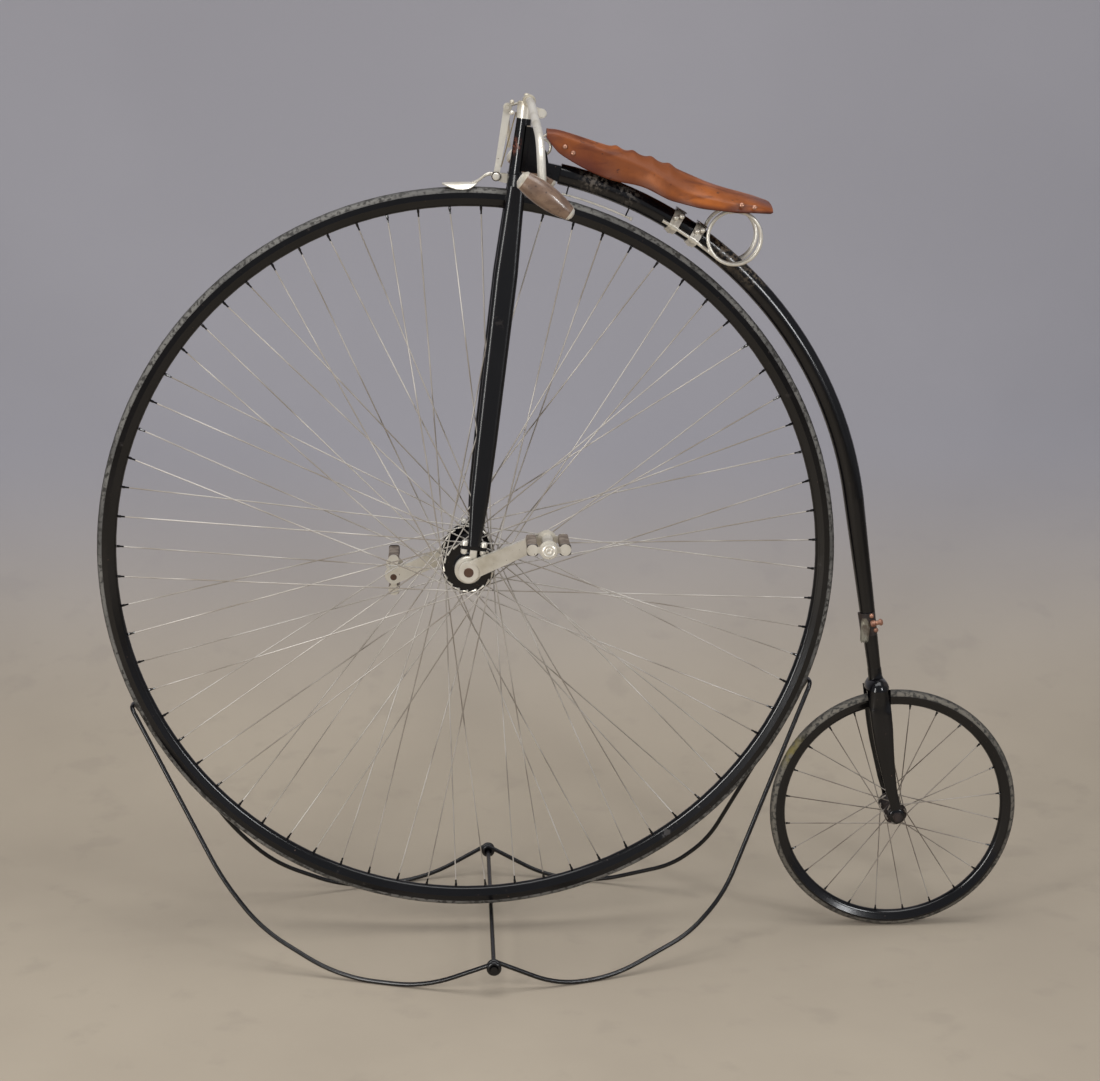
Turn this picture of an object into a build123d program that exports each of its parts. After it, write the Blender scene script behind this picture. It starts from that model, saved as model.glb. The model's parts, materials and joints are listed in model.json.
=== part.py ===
from build123d import *
import os
from math import acos, cos, degrees, radians, sin, sqrt

# High wheel bicycle standing on its bent rod display stand.
# Millimetres, +Z up, the bicycle faces -X, its left side is -Y.
# The origin is on the floor under the middle of the whole object.

# Wheels
front_tyre_radius = 660.4
front_tyre_section = 11.0
rear_tyre_radius = 228.6
rear_tyre_section = 11.0
wheelbase = 783.0
wheel_lift = 53.5
front_rim_depth = 34.4
rear_rim_depth = 28.0
rim_half_width = 12.6
rim_lip_rise = 1.0

# Clearances
seat_gap = 0.3
shaft_gap = 0.05
running_gap = 5.0

# Front hub, axle and spokes
front_axle_radius = 8.5
front_hub_barrel = 20.0
front_flange_radius = 47.0
front_flange_outer = 72.0
flange_thickness = 5.0
front_hook_radius = 43.0
front_spoke_radius = 1.15
front_spoke_count = 72
hub_nose = 2.5

# Rear hub, axle and spokes
rear_axle_radius = 6.0
rear_hub_barrel = 8.0
rear_flange_radius = 21.0
rear_flange_outer = 31.0
rear_flange_thickness = 4.0
rear_hook_radius = 17.5
rear_spoke_radius = 1.0
rear_spoke_count = 24
spoke_rim_stagger = 1.6
rear_nut_radius = 9.5
rear_nut_height = 7.0

# Steering axis, head and neck
rake_deg = 7.15
axis_setback = 5.0
spindle_radius = 7.0
head_bottom_radius = 16.0
head_top_radius = 12.5
head_height = 95.0
slot_margin_low = 3.0
slot_margin_high = 11.0
collar_radius = 14.0
collar_height = 29.0
collar_chamfer = 2.0
bar_boss_radius = 11.0
bar_boss_half_length = 14.0
neck_thickness = 22.0
neck_front = 13.5
web_thickness = 8.0
bolt_setback = 29.8
bolt_rise_above_head = 12.0
bolt_radius = 3.5
bolt_head_radius = 7.0
bolt_head_height = 5.0
ear_thickness = 6.0
ear_slot = 3.0

# Fork
crown_gap = 6.6
crown_height = 20.0
crown_half_length = 40.0
crown_half_width = 17.0
blade_top_offset = 28.0
blade_bottom_rise = 42.0
blade_bottom_half_width = 10.5
foot_thickness = 6.0
foot_depth = 12.0

# Bearing cases at the fork ends
case_radius = 22.0
case_neck_half_width = 8.0
case_thickness = 13.0
case_pad = 8.0
case_stud_radius = 3.0
case_nut_radius = 5.2
case_nut_height = 7.0

# Cranks and pedals
crank_throw = 149.0
crank_angle_deg = 23.5
crank_thickness = 11.0
crank_boss_radius = 17.5
crank_boss_depth = 14.0
crank_root_radius = 15.5
crank_end_radius = 13.0
pedal_pin_radius = 6.0
pedal_length = 84.0
pedal_half_width = 38.0
pedal_plate_thickness = 3.0
pedal_plate_height = 11.0
pedal_boss_radius = 16.5
pedal_ear_radius = 10.0
pedal_barrel_radius = 10.5
pedal_block_size = 19.0
pedal_cap_radius = 13.5
pedal_cap_depth = 9.0

# Handlebar and grips
bar_radius = 7.0
bar_half_width = 330.0
bar_drop = 139.0
bar_rise_above_head = 30.5
bar_setback = 5.0
bar_straight = 95.0
bar_end_back = 10.0
bar_bend_radii = (80, 150, 150, 80)
grip_length = 103.0
grip_radius = 19.5
grip_front_radius = 15.5
grip_rear_radius = 11.5
grip_slope_deg = 36.0
grip_socket_depth = 6.0
grip_socket_share = 0.42
ferrule_length = 7.0

# Backbone
backbone_gap = 22.0
backbone_radius = 18.2
backbone_end_radius = 11.8
backbone_top_deg = 76.5
backbone_bottom_deg = 8.5

# Rear fork
bulb_rise = 16.07775
bulb_radius = 22.0
bulb_half_length = 14.0
bulb_drop = 12.0
rear_blade_top_offset = 24.0
rear_blade_thickness = 8.0
rear_lug_radius = 14.0
socket_wall = 2.0
socket_length = 14.0
cone_radius = 9.0

# Saddle and springs
saddle_thickness = 5.0
saddle_seat_front = 440.0
saddle_seat_rear = 468.0
saddle_hoop = 4.0
saddle_bar_height = 6.0
coil_rise = 37.5
coil_radius = 46.0
coil_wire = 3.1
coil_turns = 1.648
coil_pitch = 14.0
coil_deg = 50.9
coil_tail_deg = 60.4
clamp_degs = (58.7, 55.2)
clamp_width = 18.0
clamp_thickness = 2.6
ridge_width = 6.0
ridge_rise = 1.6
nose_wire = 1.9
nose_loop_radius = 13.0
nose_loop_back = 131.0
nose_loop_rise = 67.2
nose_arm_rise = 7.0

# Brake
spoon_gap = 5.2
spoon_thickness = 2.6
spoon_half_angle_deg = 65.0
link_width = 13.0
link_bar_width = 6.0
link_thickness = 10.0
link_top_thickness = 13.0
pivot_back = 53.7
pivot_rise = 17.3
pivot_pin_radius = 3.0
neck_bar_radius = 4.0
boss_half_width = 3.5
eye_back = 74.0
eye_rise = 134.6
eye_radius = 7.5
lever_radius = 3.5
lever_bracket_offset = 26.0
lever_bracket_width = 12.0
brake_spring_width = 10.0
brake_spring_thickness = 1.6
cheek_thickness = 3.0

# Rod above the tyre
guard_rod_radius = 1.8
guard_rod_gap = 8.1
guard_rod_degs = (75.5, 64.3)

# Mounting step
step_above_fork = 64.0
step_length = 62.0
step_wall = 5.0
step_half_width = 13.0
tread_from = 6.0
tread_back = 4.0
tread_reach = 40.0
tread_width = 30.0
tread_thickness = 5.0
tread_teeth = 5
tooth_depth = 3.0

# Display stand
rod_radius = 4.0
cross_bar_back = 37.0
eye_ring_offset = 294.0
eye_ring_spacing = 10.8
eye_wire = 4.4
eye_lift = 0.8
knob_radius = 6.5
front_loop_top_deg = 203.8
rear_loop_top_deg = -20.9

# Derived places
overall_length = front_tyre_radius + wheelbase + rear_tyre_radius
front_x = front_tyre_radius - overall_length / 2
front_z = front_tyre_radius + wheel_lift
rear_x = front_x + wheelbase
rear_z = rear_tyre_radius
front_rim_inner = front_tyre_radius - front_rim_depth
rear_rim_inner = rear_tyre_radius - rear_rim_depth
crown_rise = front_tyre_radius + crown_gap
pivot_up = front_tyre_radius + pivot_rise
eye_up = front_tyre_radius + eye_rise
front_section_centre = front_tyre_radius - front_tyre_section
rear_section_centre = rear_tyre_radius - rear_tyre_section
axis_origin = Vector(front_x + axis_setback, 0, front_z)
axis_sin = sin(radians(rake_deg))
axis_cos = cos(radians(rake_deg))
front_axis = Axis((front_x, 0, front_z), (0, 1, 0))
rear_axis = Axis((rear_x, 0, rear_z), (0, 1, 0))
steer_axis = Axis(axis_origin, (axis_sin, 0, axis_cos))
front_plane = Plane(origin=(front_x, 0, front_z), x_dir=(1, 0, 0), z_dir=(0, 0, 1))
rear_plane = Plane(origin=(rear_x, 0, rear_z), x_dir=(1, 0, 0), z_dir=(0, 0, 1))
steer_plane = Plane(origin=axis_origin, x_dir=(axis_cos, 0, -axis_sin), z_dir=(axis_sin, 0, axis_cos))
steer_side = Plane(origin=axis_origin, x_dir=(axis_cos, 0, -axis_sin), z_dir=(0, -1, 0))
sides = ((-1, "left"), (1, "right"))


def rel(back, up):
    """A point given behind and above the front axle, as X and Z in the part's frame."""
    return (front_x + back, front_z + up)


def steer_point(back, rise, side=0.0):
    """A point given behind and along the steering axis, in the part's frame."""
    x = axis_origin.X + back * axis_cos + rise * axis_sin
    z = axis_origin.Z - back * axis_sin + rise * axis_cos
    return Vector(x, side, z)


def to_steer(x, z):
    """The distance behind the steering axis, and along it, of a point in the part's frame."""
    dx = x - axis_origin.X
    dz = z - axis_origin.Z
    return (dx * axis_cos - dz * axis_sin, dx * axis_sin + dz * axis_cos)


def side_plane(x, y, z):
    """A plane facing -Y, with local X to the rear and local Y up."""
    return Plane(origin=(x, y, z), x_dir=(1, 0, 0), z_dir=(0, -1, 0))


def down_tangent(angle_deg):
    """The direction down and round the front wheel at an angle about its axle."""
    return Vector(sin(radians(angle_deg)), 0, -cos(radians(angle_deg)))


def radial_plane(angle_deg):
    """A plane through the front axle, local X outwards, facing down and round the wheel."""
    outwards = (cos(radians(angle_deg)), 0, sin(radians(angle_deg)))
    return Plane(origin=(front_x, 0, front_z), x_dir=outwards, z_dir=down_tangent(angle_deg))


def around_front(angle_deg, radius, side=0.0):
    """A point at an angle and radius about the front axle."""
    angle = radians(angle_deg)
    return Vector(front_x + radius * cos(angle), side, front_z + radius * sin(angle))


def edge_drift(flange, hook, outer, rim_inner):
    """How far a tangent spoke leans inwards before it passes the flange's edge."""
    return sqrt(flange**2 - hook**2) * outer / sqrt(rim_inner**2 - hook**2)


def save(part, label):
    part.part.label = label
    export_step(part.part, "parts/" + label + ".step")


os.makedirs("parts", exist_ok=True)


# Tyres and rims
def tyre(plane, axis, section_centre, section):
    with BuildPart() as ring:
        with BuildSketch(plane):
            with Locations((section_centre, 0)):
                Circle(section)
        revolve(axis=axis)
    return ring


def rim(plane, axis, inner, section_centre, section):
    lip = section_centre + rim_lip_rise
    waist = inner + 7.0
    shoulder = waist + 8.0
    half_waist = rim_half_width - 3.6
    with BuildPart() as ring:
        with BuildSketch(plane):
            with BuildLine():
                Polyline((waist, -half_waist), (shoulder, -rim_half_width), (lip, -rim_half_width))
                Line((lip, -rim_half_width), (lip, rim_half_width))
                Polyline((lip, rim_half_width), (shoulder, rim_half_width), (waist, half_waist))
                ThreePointArc((waist, half_waist), (inner, 0), (waist, -half_waist))
            make_face()
            with Locations((section_centre, 0)):
                Circle(section + seat_gap, mode=Mode.SUBTRACT)
        revolve(axis=axis)
    return ring


front_tyre = tyre(front_plane, front_axis, front_section_centre, front_tyre_section)
save(front_tyre, "front_tyre")
front_rim = rim(front_plane, front_axis, front_rim_inner, front_section_centre, front_tyre_section)
save(front_rim, "front_rim")
rear_tyre = tyre(rear_plane, rear_axis, rear_section_centre, rear_tyre_section)
save(rear_tyre, "rear_tyre")
rear_rim = rim(rear_plane, rear_axis, rear_rim_inner, rear_section_centre, rear_tyre_section)
save(rear_rim, "rear_rim")


# Hubs: a waisted barrel between two flanges, bored for the axle
def hub(plane, axis, bore, barrel, flange, outer, thickness):
    inner = outer - thickness
    with BuildPart() as body:
        with BuildSketch(plane):
            with BuildLine():
                Polyline(
                    (bore, -outer - hub_nose),
                    (barrel + 4, -outer - hub_nose),
                    (barrel + 7, -outer),
                    (flange, -outer),
                    (flange, -inner),
                    (barrel + 8, -inner),
                    (barrel, -inner + 14),
                    (barrel, inner - 14),
                    (barrel + 8, inner),
                    (flange, inner),
                    (flange, outer),
                    (barrel + 7, outer),
                    (barrel + 4, outer + hub_nose),
                    (bore, outer + hub_nose),
                    close=True,
                )
            make_face()
        revolve(axis=axis)
    return body


front_hub = hub(
    front_plane,
    front_axis,
    front_axle_radius + shaft_gap,
    front_hub_barrel,
    front_flange_radius,
    front_flange_outer,
    flange_thickness,
)
save(front_hub, "front_hub")
rear_hub = hub(
    rear_plane,
    rear_axis,
    rear_axle_radius + shaft_gap,
    rear_hub_barrel,
    rear_flange_radius,
    rear_flange_outer,
    rear_flange_thickness,
)
save(rear_hub, "rear_hub")


# Spokes: each leaves its flange on a tangent and meets the rim near its middle.
# Along the rim they alternate: side, lean, which face of the flange they lie on.
spoke_pattern = [
    (-1, 1, 1),
    (1, -1, -1),
    (-1, -1, -1),
    (1, 1, 1),
]


def spokes(count, centre, rim_inner, flange, hook, outer, thickness, wire):
    reach = rim_inner - seat_gap
    wrap = acos(hook / reach)
    outside = outer + seat_gap + wire + edge_drift(flange, hook, outer, rim_inner)
    inside = outer - thickness - seat_gap - wire
    with BuildPart() as lacing:
        for k in range(count):
            side, lean, face = spoke_pattern[k % len(spoke_pattern)]
            rim_angle = radians(360 / count * (k + 0.5))
            hook_angle = rim_angle + lean * wrap
            start = Vector(
                centre[0] + hook * cos(hook_angle),
                side * (outside if face > 0 else inside),
                centre[1] + hook * sin(hook_angle),
            )
            end = Vector(
                centre[0] + reach * cos(rim_angle),
                side * face * spoke_rim_stagger,
                centre[1] + reach * sin(rim_angle),
            )
            along = end - start
            with BuildSketch(Plane(origin=start, z_dir=along)):
                Circle(wire)
            extrude(amount=along.length)
    return lacing


front_spokes = spokes(
    front_spoke_count,
    (front_x, front_z),
    front_rim_inner,
    front_flange_radius,
    front_hook_radius,
    front_flange_outer,
    flange_thickness,
    front_spoke_radius,
)
save(front_spokes, "front_spokes")
rear_spokes = spokes(
    rear_spoke_count,
    (rear_x, rear_z),
    rear_rim_inner,
    rear_flange_radius,
    rear_hook_radius,
    rear_flange_outer,
    rear_flange_thickness,
    rear_spoke_radius,
)
save(rear_spokes, "rear_spokes")

# Front axle and cranks, set outside the spokes, the fork feet and the bearing cases
front_drift = edge_drift(front_flange_radius, front_hook_radius, front_flange_outer, front_rim_inner)
front_spoke_outer = front_flange_outer + seat_gap + 2 * front_spoke_radius + front_drift
case_inner = front_spoke_outer + running_gap
case_outer = case_inner + case_thickness
crank_inner = case_outer + running_gap
crank_outer = crank_inner + crank_thickness
axle_half = crank_inner + crank_boss_depth + 1.5

with BuildPart() as front_axle:
    with BuildSketch(side_plane(front_x, axle_half, front_z)):
        Circle(front_axle_radius)
    extrude(amount=2 * axle_half)
    chamfer(front_axle.edges().filter_by(GeomType.CIRCLE), 1.0)
save(front_axle, "front_axle")


def crank_turn(side):
    """The crank's angle about the axle, seen from the left: the right one is opposite."""
    return radians(crank_angle_deg if side < 0 else crank_angle_deg + 180)


for side, name in sides:
    # Both are drawn on planes facing -Y: the left from its inner face, the right from its outer
    left = side < 0
    crank_face = side_plane(front_x, -crank_inner if left else crank_outer, front_z)
    boss_face = side_plane(front_x, -crank_inner if left else crank_inner + crank_boss_depth, front_z)
    pin_at = (crank_throw * cos(crank_turn(side)), crank_throw * sin(crank_turn(side)))
    with BuildPart() as crank:
        with BuildSketch(crank_face):
            Circle(crank_root_radius)
            with Locations(pin_at):
                Circle(crank_end_radius)
            make_hull()
        extrude(amount=crank_thickness)
        with BuildSketch(boss_face):
            Circle(crank_boss_radius)
        extrude(amount=crank_boss_depth)
        with BuildSketch(boss_face):
            Circle(front_axle_radius + shaft_gap)
            with Locations(pin_at):
                Circle(pedal_pin_radius + shaft_gap)
        extrude(amount=crank_boss_depth, mode=Mode.SUBTRACT)
    save(crank, "crank_" + name)

# Pedals: a pin in each crank, a cage round it and two rubber blocks in the cage.
# The left one lies flat and the right one has swung upright.
pedal_inner = crank_outer + running_gap + 1.0
pedal_outer = pedal_inner + pedal_length
with BuildPart() as pedal_pins:
    for side, name in sides:
        pin_x = front_x + crank_throw * cos(crank_turn(side))
        pin_z = front_z + crank_throw * sin(crank_turn(side))
        with BuildSketch(Plane(origin=(pin_x, side * crank_inner, pin_z), z_dir=(0, side, 0))):
            Circle(pedal_pin_radius)
        extrude(amount=pedal_outer - crank_inner)
save(pedal_pins, "pedal_pins")

for side, name, across in ((-1, "left", (1, 0, 0)), (1, "right", (0, 0, 1))):
    pin_x = front_x + crank_throw * cos(crank_turn(side))
    pin_z = front_z + crank_throw * sin(crank_turn(side))
    inner_face = Plane(origin=(pin_x, side * pedal_inner, pin_z), x_dir=across, z_dir=(0, side, 0))
    outer_face = inner_face.offset(pedal_length)
    ear = pedal_half_width - pedal_ear_radius
    with BuildPart() as cage:
        for plane, depth in ((inner_face, pedal_plate_thickness), (outer_face, -pedal_plate_thickness)):
            with BuildSketch(plane):
                Circle(pedal_boss_radius)
                Rectangle(2 * ear, pedal_plate_height)
                with Locations((ear, 0), (-ear, 0)):
                    Circle(pedal_ear_radius)
            extrude(amount=depth)
        with BuildSketch(inner_face):
            Circle(pedal_barrel_radius)
        extrude(amount=pedal_length)
        with BuildSketch(outer_face):
            Circle(pedal_cap_radius)
        extrude(amount=pedal_cap_depth)
        with BuildSketch(inner_face):
            Circle(pedal_pin_radius + shaft_gap)
        extrude(amount=pedal_length + seat_gap, mode=Mode.SUBTRACT)
    save(cage, "pedal_cage_" + name)
    with BuildPart() as blocks:
        with BuildSketch(inner_face.offset(pedal_plate_thickness + seat_gap)):
            with Locations((ear, 0), (-ear, 0)):
                RectangleRounded(pedal_block_size - 2, pedal_block_size, 3)
        extrude(amount=pedal_length - 2 * pedal_plate_thickness - 2 * seat_gap)
        with BuildSketch(inner_face):
            Circle(pedal_barrel_radius + seat_gap)
        extrude(amount=pedal_length, mode=Mode.SUBTRACT)
    save(blocks, "pedal_blocks_" + name)

# Front fork: crown, two tapering oval blades and a foot on each
blade_bottom_offset = case_inner + foot_depth / 2
case_stud_spacing = 2 * (blade_bottom_half_width + case_nut_radius + 1.2)
foot_half_length = case_stud_spacing / 2 + case_nut_radius
# Rise along the steering axis, half width fore and aft, half thickness
blade_table = [
    (crown_rise + 6, 15.0, 9.5),
    (515.0, 20.5, 9.5),
    (228.0, 18.5, 8.5),
    (122.0, 16.3, 7.5),
    (blade_bottom_rise, blade_bottom_half_width, foot_depth / 2),
]


def blade_offset(rise):
    share = (crown_rise - rise) / (crown_rise - blade_bottom_rise)
    return blade_top_offset + share * (blade_bottom_offset - blade_top_offset)


with BuildPart() as front_fork:
    with BuildSketch(steer_plane.offset(crown_rise)):
        SlotOverall(2 * crown_half_length, 2 * crown_half_width, rotation=90)
    extrude(amount=crown_height)
    with BuildSketch(steer_plane.offset(crown_rise)):
        Circle(spindle_radius + shaft_gap)
    extrude(amount=crown_height, mode=Mode.SUBTRACT)
    for side, name in sides:
        for rise, half_width, half_thickness in blade_table:
            with BuildSketch(steer_plane.offset(rise)):
                with Locations((0, side * blade_offset(rise))):
                    SlotOverall(2 * half_width, 2 * half_thickness)
        loft(ruled=True)
        with BuildSketch(steer_plane.offset(blade_bottom_rise)):
            with Locations((0, side * blade_bottom_offset)):
                Rectangle(2 * foot_half_length, foot_depth)
                with GridLocations(case_stud_spacing, 1, 2, 1):
                    Circle(case_stud_radius + seat_gap, mode=Mode.SUBTRACT)
        extrude(amount=-foot_thickness)
save(front_fork, "front_fork")

# Bearing cases: a round housing that rises into a pad, hung under each fork foot by two studs
foot_low = blade_bottom_rise - foot_thickness
with BuildPart() as bearing_cases:
    for side, name in sides:
        case_face = steer_side.offset(-max(side * case_inner, side * case_outer))
        with BuildSketch(case_face):
            with Locations(to_steer(front_x, front_z)):
                Circle(case_radius)
            with Locations((0, foot_low - seat_gap)):
                Rectangle(2 * foot_half_length, case_pad, align=(Align.CENTER, Align.MAX))
                Rectangle(2 * case_neck_half_width, foot_low, align=(Align.CENTER, Align.MAX))
        extrude(amount=case_thickness)
        with BuildSketch(steer_plane.offset(foot_low - seat_gap)):
            with Locations((0, side * blade_bottom_offset)):
                with GridLocations(case_stud_spacing, 1, 2, 1):
                    Circle(case_stud_radius)
        extrude(amount=foot_thickness + seat_gap + case_nut_height)
        with BuildSketch(steer_plane.offset(blade_bottom_rise + seat_gap)):
            with Locations((0, side * blade_bottom_offset)):
                with GridLocations(case_stud_spacing, 1, 2, 1):
                    RegularPolygon(case_nut_radius, 6)
        extrude(amount=case_nut_height - seat_gap)
    with BuildSketch(side_plane(front_x, case_outer, front_z)):
        Circle(front_axle_radius + shaft_gap)
    extrude(amount=2 * case_outer, mode=Mode.SUBTRACT)
save(bearing_cases, "bearing_cases")

# Steering head: a tapering shell round the spindle, open at the back for the neck
head_foot = crown_rise + crown_height
head_top = head_foot + head_height
slot_foot = head_foot + slot_margin_low
slot_top = head_top - slot_margin_high
with BuildPart() as steering_head:
    with BuildSketch(steer_side):
        Polygon(
            (spindle_radius + shaft_gap, head_foot),
            (head_bottom_radius, head_foot),
            (head_top_radius, head_top),
            (spindle_radius + shaft_gap, head_top),
            align=None,
        )
    revolve(axis=steer_axis)
    with BuildSketch(steer_side):
        Polygon((0.5, slot_foot), (30, slot_foot), (30, slot_top), (0.5, slot_top), align=None)
    extrude(amount=30, both=True, mode=Mode.SUBTRACT)
save(steering_head, "steering_head")

# Collar: holds the handlebar above the head and pinches it with a bolt behind
bar_mid = steer_point(bar_setback, head_top + bar_rise_above_head)
bolt_at = (bolt_setback, head_top + bolt_rise_above_head)
ear_outer = ear_slot / 2 + ear_thickness
with BuildPart() as head_collar:
    with BuildSketch(steer_plane.offset(head_top)):
        Circle(collar_radius)
    extrude(amount=collar_height)
    chamfer(head_collar.edges().sort_by(steer_axis)[-1], collar_chamfer)
    with BuildSketch(side_plane(bar_mid.X, bar_boss_half_length, bar_mid.Z)):
        Circle(bar_boss_radius)
    extrude(amount=2 * bar_boss_half_length)
    with BuildSketch(steer_side):
        with Locations(bolt_at):
            Circle(bolt_head_radius + 1)
        with Locations((0, head_top + bolt_rise_above_head)):
            Circle(bolt_rise_above_head)
        make_hull()
    extrude(amount=ear_outer, both=True)
    with BuildSketch(steer_side):
        with Locations((bolt_setback / 2 + collar_radius, head_top + collar_height / 2)):
            Rectangle(bolt_setback, collar_height + 2)
    extrude(amount=ear_slot / 2, both=True, mode=Mode.SUBTRACT)
    with BuildSketch(steer_side):
        with Locations(bolt_at):
            Circle(bolt_radius + shaft_gap)
    extrude(amount=ear_outer, both=True, mode=Mode.SUBTRACT)
    bore_reach = max(collar_radius, bar_boss_half_length) + 1
    with BuildSketch(side_plane(bar_mid.X, bore_reach, bar_mid.Z)):
        Circle(bar_radius + shaft_gap)
    extrude(amount=2 * bore_reach, mode=Mode.SUBTRACT)
save(head_collar, "head_collar")

with BuildPart() as head_bolt:
    with BuildSketch(steer_side):
        with Locations(bolt_at):
            Circle(bolt_radius)
    extrude(amount=ear_outer + seat_gap, both=True)
    for side, name in sides:
        with BuildSketch(steer_side.offset(-side * (ear_outer + seat_gap))):
            with Locations(bolt_at):
                RegularPolygon(bolt_head_radius, 6)
        extrude(amount=-side * bolt_head_height)
save(head_bolt, "head_bolt")

# Handlebar: one tube, straight through the collar, then swept down to the grips.
# Behind the collar's hole, outwards, and down from it
bar_bends = [
    (bar_end_back, bar_half_width, bar_drop),
    (bar_end_back * 0.8, bar_half_width - 40, bar_drop * 0.36),
    (0.0, bar_straight, 0.0),
]
bar_points = [(bar_mid.X + back, -out, bar_mid.Z - down) for back, out, down in bar_bends]
bar_points += [(x, -y, z) for x, y, z in reversed(bar_points)]
with BuildPart() as handlebar:
    with BuildLine() as bar_path:
        FilletPolyline(*bar_points, radius=bar_bend_radii)
    with BuildSketch(Plane(origin=bar_path.wires()[0] @ 0, z_dir=bar_path.wires()[0] % 0)):
        Circle(bar_radius)
    sweep()
save(handlebar, "handlebar")

# Grips: barrel handles set across the bar's ends, bored for them
grip_dir = Vector(cos(radians(grip_slope_deg)), 0, -sin(radians(grip_slope_deg)))
grip_body_end = grip_length - ferrule_length
grip_frames = []
for side, name in sides:
    bar_end = Vector(bar_points[0][0], side * bar_half_width, bar_points[0][2])
    last_bend = Vector(bar_points[1][0], -side * bar_points[1][1], bar_points[1][2])
    bar_dir = (bar_end - last_bend).normalized()
    grip_start = bar_end - bar_dir * grip_socket_depth - grip_dir * (grip_length * grip_socket_share)
    grip_frames.append((grip_start, bar_end, bar_dir, name))

for grip_start, bar_end, bar_dir, name in grip_frames:
    with BuildPart() as grip:
        with BuildSketch(Plane(origin=grip_start, x_dir=grip_dir, z_dir=(0, -1, 0))):
            with BuildLine():
                Line((ferrule_length, 0), (ferrule_length, grip_front_radius))
                ThreePointArc(
                    (ferrule_length, grip_front_radius),
                    (grip_length * grip_socket_share, grip_radius),
                    (grip_body_end, grip_rear_radius),
                )
                Polyline((grip_body_end, grip_rear_radius), (grip_body_end, 0), (ferrule_length, 0))
            make_face()
        revolve(axis=Axis(grip_start, grip_dir))
        with BuildSketch(Plane(origin=bar_end + bar_dir * seat_gap, z_dir=-bar_dir)):
            Circle(bar_radius + shaft_gap)
        extrude(amount=50, mode=Mode.SUBTRACT)
    save(grip, "grip_" + name)

with BuildPart() as grip_ferrules:
    for grip_start, bar_end, bar_dir, name in grip_frames:
        with BuildSketch(Plane(origin=grip_start, x_dir=grip_dir, z_dir=(0, -1, 0))):
            Polygon(
                (0, 0),
                (0, grip_front_radius - 5),
                (ferrule_length * 0.6, grip_front_radius),
                (ferrule_length, grip_front_radius),
                (ferrule_length, 0),
                align=None,
            )
            Polygon(
                (grip_body_end, 0),
                (grip_body_end, grip_rear_radius),
                (grip_body_end + ferrule_length * 0.6, grip_rear_radius * 0.8),
                (grip_length, grip_rear_radius * 0.35),
                (grip_length, 0),
                align=None,
            )
        revolve(axis=Axis(grip_start, grip_dir))
save(grip_ferrules, "grip_ferrules")

# Backbone: an arc about the front axle, a straight taper to the rear fork and the neck.
# The neck rises behind the head, with a web to the spindle inside the head.
backbone_path_radius = front_tyre_radius + backbone_gap + backbone_radius
tail_start = around_front(backbone_bottom_deg, backbone_path_radius)
tail_dir = down_tangent(backbone_bottom_deg)
tail_drop = tail_start.Z - 2 * rear_tyre_radius - bulb_rise
backbone_tail_length = tail_drop / cos(radians(backbone_bottom_deg)) - bulb_drop
tail_end = tail_start + tail_dir * backbone_tail_length
neck_foot = head_foot + running_gap
neck_top = slot_top - 2.0
joint_high = around_front(backbone_top_deg, backbone_path_radius + backbone_radius - 4)
joint_low = around_front(backbone_top_deg, backbone_path_radius - backbone_radius + 4)
neck_outline = [
    (neck_front, neck_foot),
    (neck_front, neck_top),
    (neck_front + 12.5, neck_top),
    (neck_front + 20.5, neck_top - 25.0),
    (neck_front + 31.5, neck_top - 38.0),
    (neck_front + 37.5, neck_top - 57.0),
    to_steer(joint_high.X, joint_high.Z),
    to_steer(joint_low.X, joint_low.Z),
    (neck_front + 30, neck_foot),
]


def tail_plane(run):
    """A plane across the backbone's straight tail, local X to the rear, local Y to the left."""
    return Plane(
        origin=tail_start + tail_dir * run,
        x_dir=(cos(radians(backbone_bottom_deg)), 0, sin(radians(backbone_bottom_deg))),
        z_dir=tail_dir,
    )


def tail_radius(run):
    """The radius of the backbone's tapering tail."""
    return backbone_radius + (backbone_end_radius - backbone_radius) * run / backbone_tail_length


with BuildPart() as backbone:
    with BuildSketch(radial_plane(backbone_top_deg)):
        with Locations((backbone_path_radius, 0)):
            Circle(backbone_radius)
    revolve(axis=front_axis, revolution_arc=backbone_top_deg - backbone_bottom_deg)
    for run in (0, backbone_tail_length):
        with BuildSketch(tail_plane(run)):
            Circle(tail_radius(run))
    loft(ruled=True)
    with BuildSketch(steer_side):
        Polygon(*neck_outline, align=None)
    extrude(amount=neck_thickness / 2, both=True)
    with BuildSketch(steer_side):
        Polygon(
            (spindle_radius - 2, neck_foot),
            (spindle_radius - 2, neck_top),
            (neck_front + 2, neck_top),
            (neck_front + 2, neck_foot),
            align=None,
        )
    extrude(amount=web_thickness / 2, both=True)
    with BuildSketch(steer_plane.offset(crown_rise + 3)):
        Circle(spindle_radius)
    extrude(amount=head_top - 2 * seat_gap - crown_rise - 3)
save(backbone, "backbone")

# Rear fork: a bulb over the tyre, two blades and the axle lugs
rear_drift = edge_drift(rear_flange_radius, rear_hook_radius, rear_flange_outer, rear_rim_inner)
rear_spoke_outer = rear_flange_outer + seat_gap + 2 * rear_spoke_radius + rear_drift
rear_blade_offset = rear_spoke_outer + running_gap + rear_blade_thickness / 2
lug_inner = rear_blade_offset - rear_blade_thickness / 2
lug_outer = rear_blade_offset + rear_blade_thickness / 2
bulb_centre = tail_end + tail_dir * bulb_drop
bulb_length = 2 * (bulb_half_length + bulb_radius)
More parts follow.
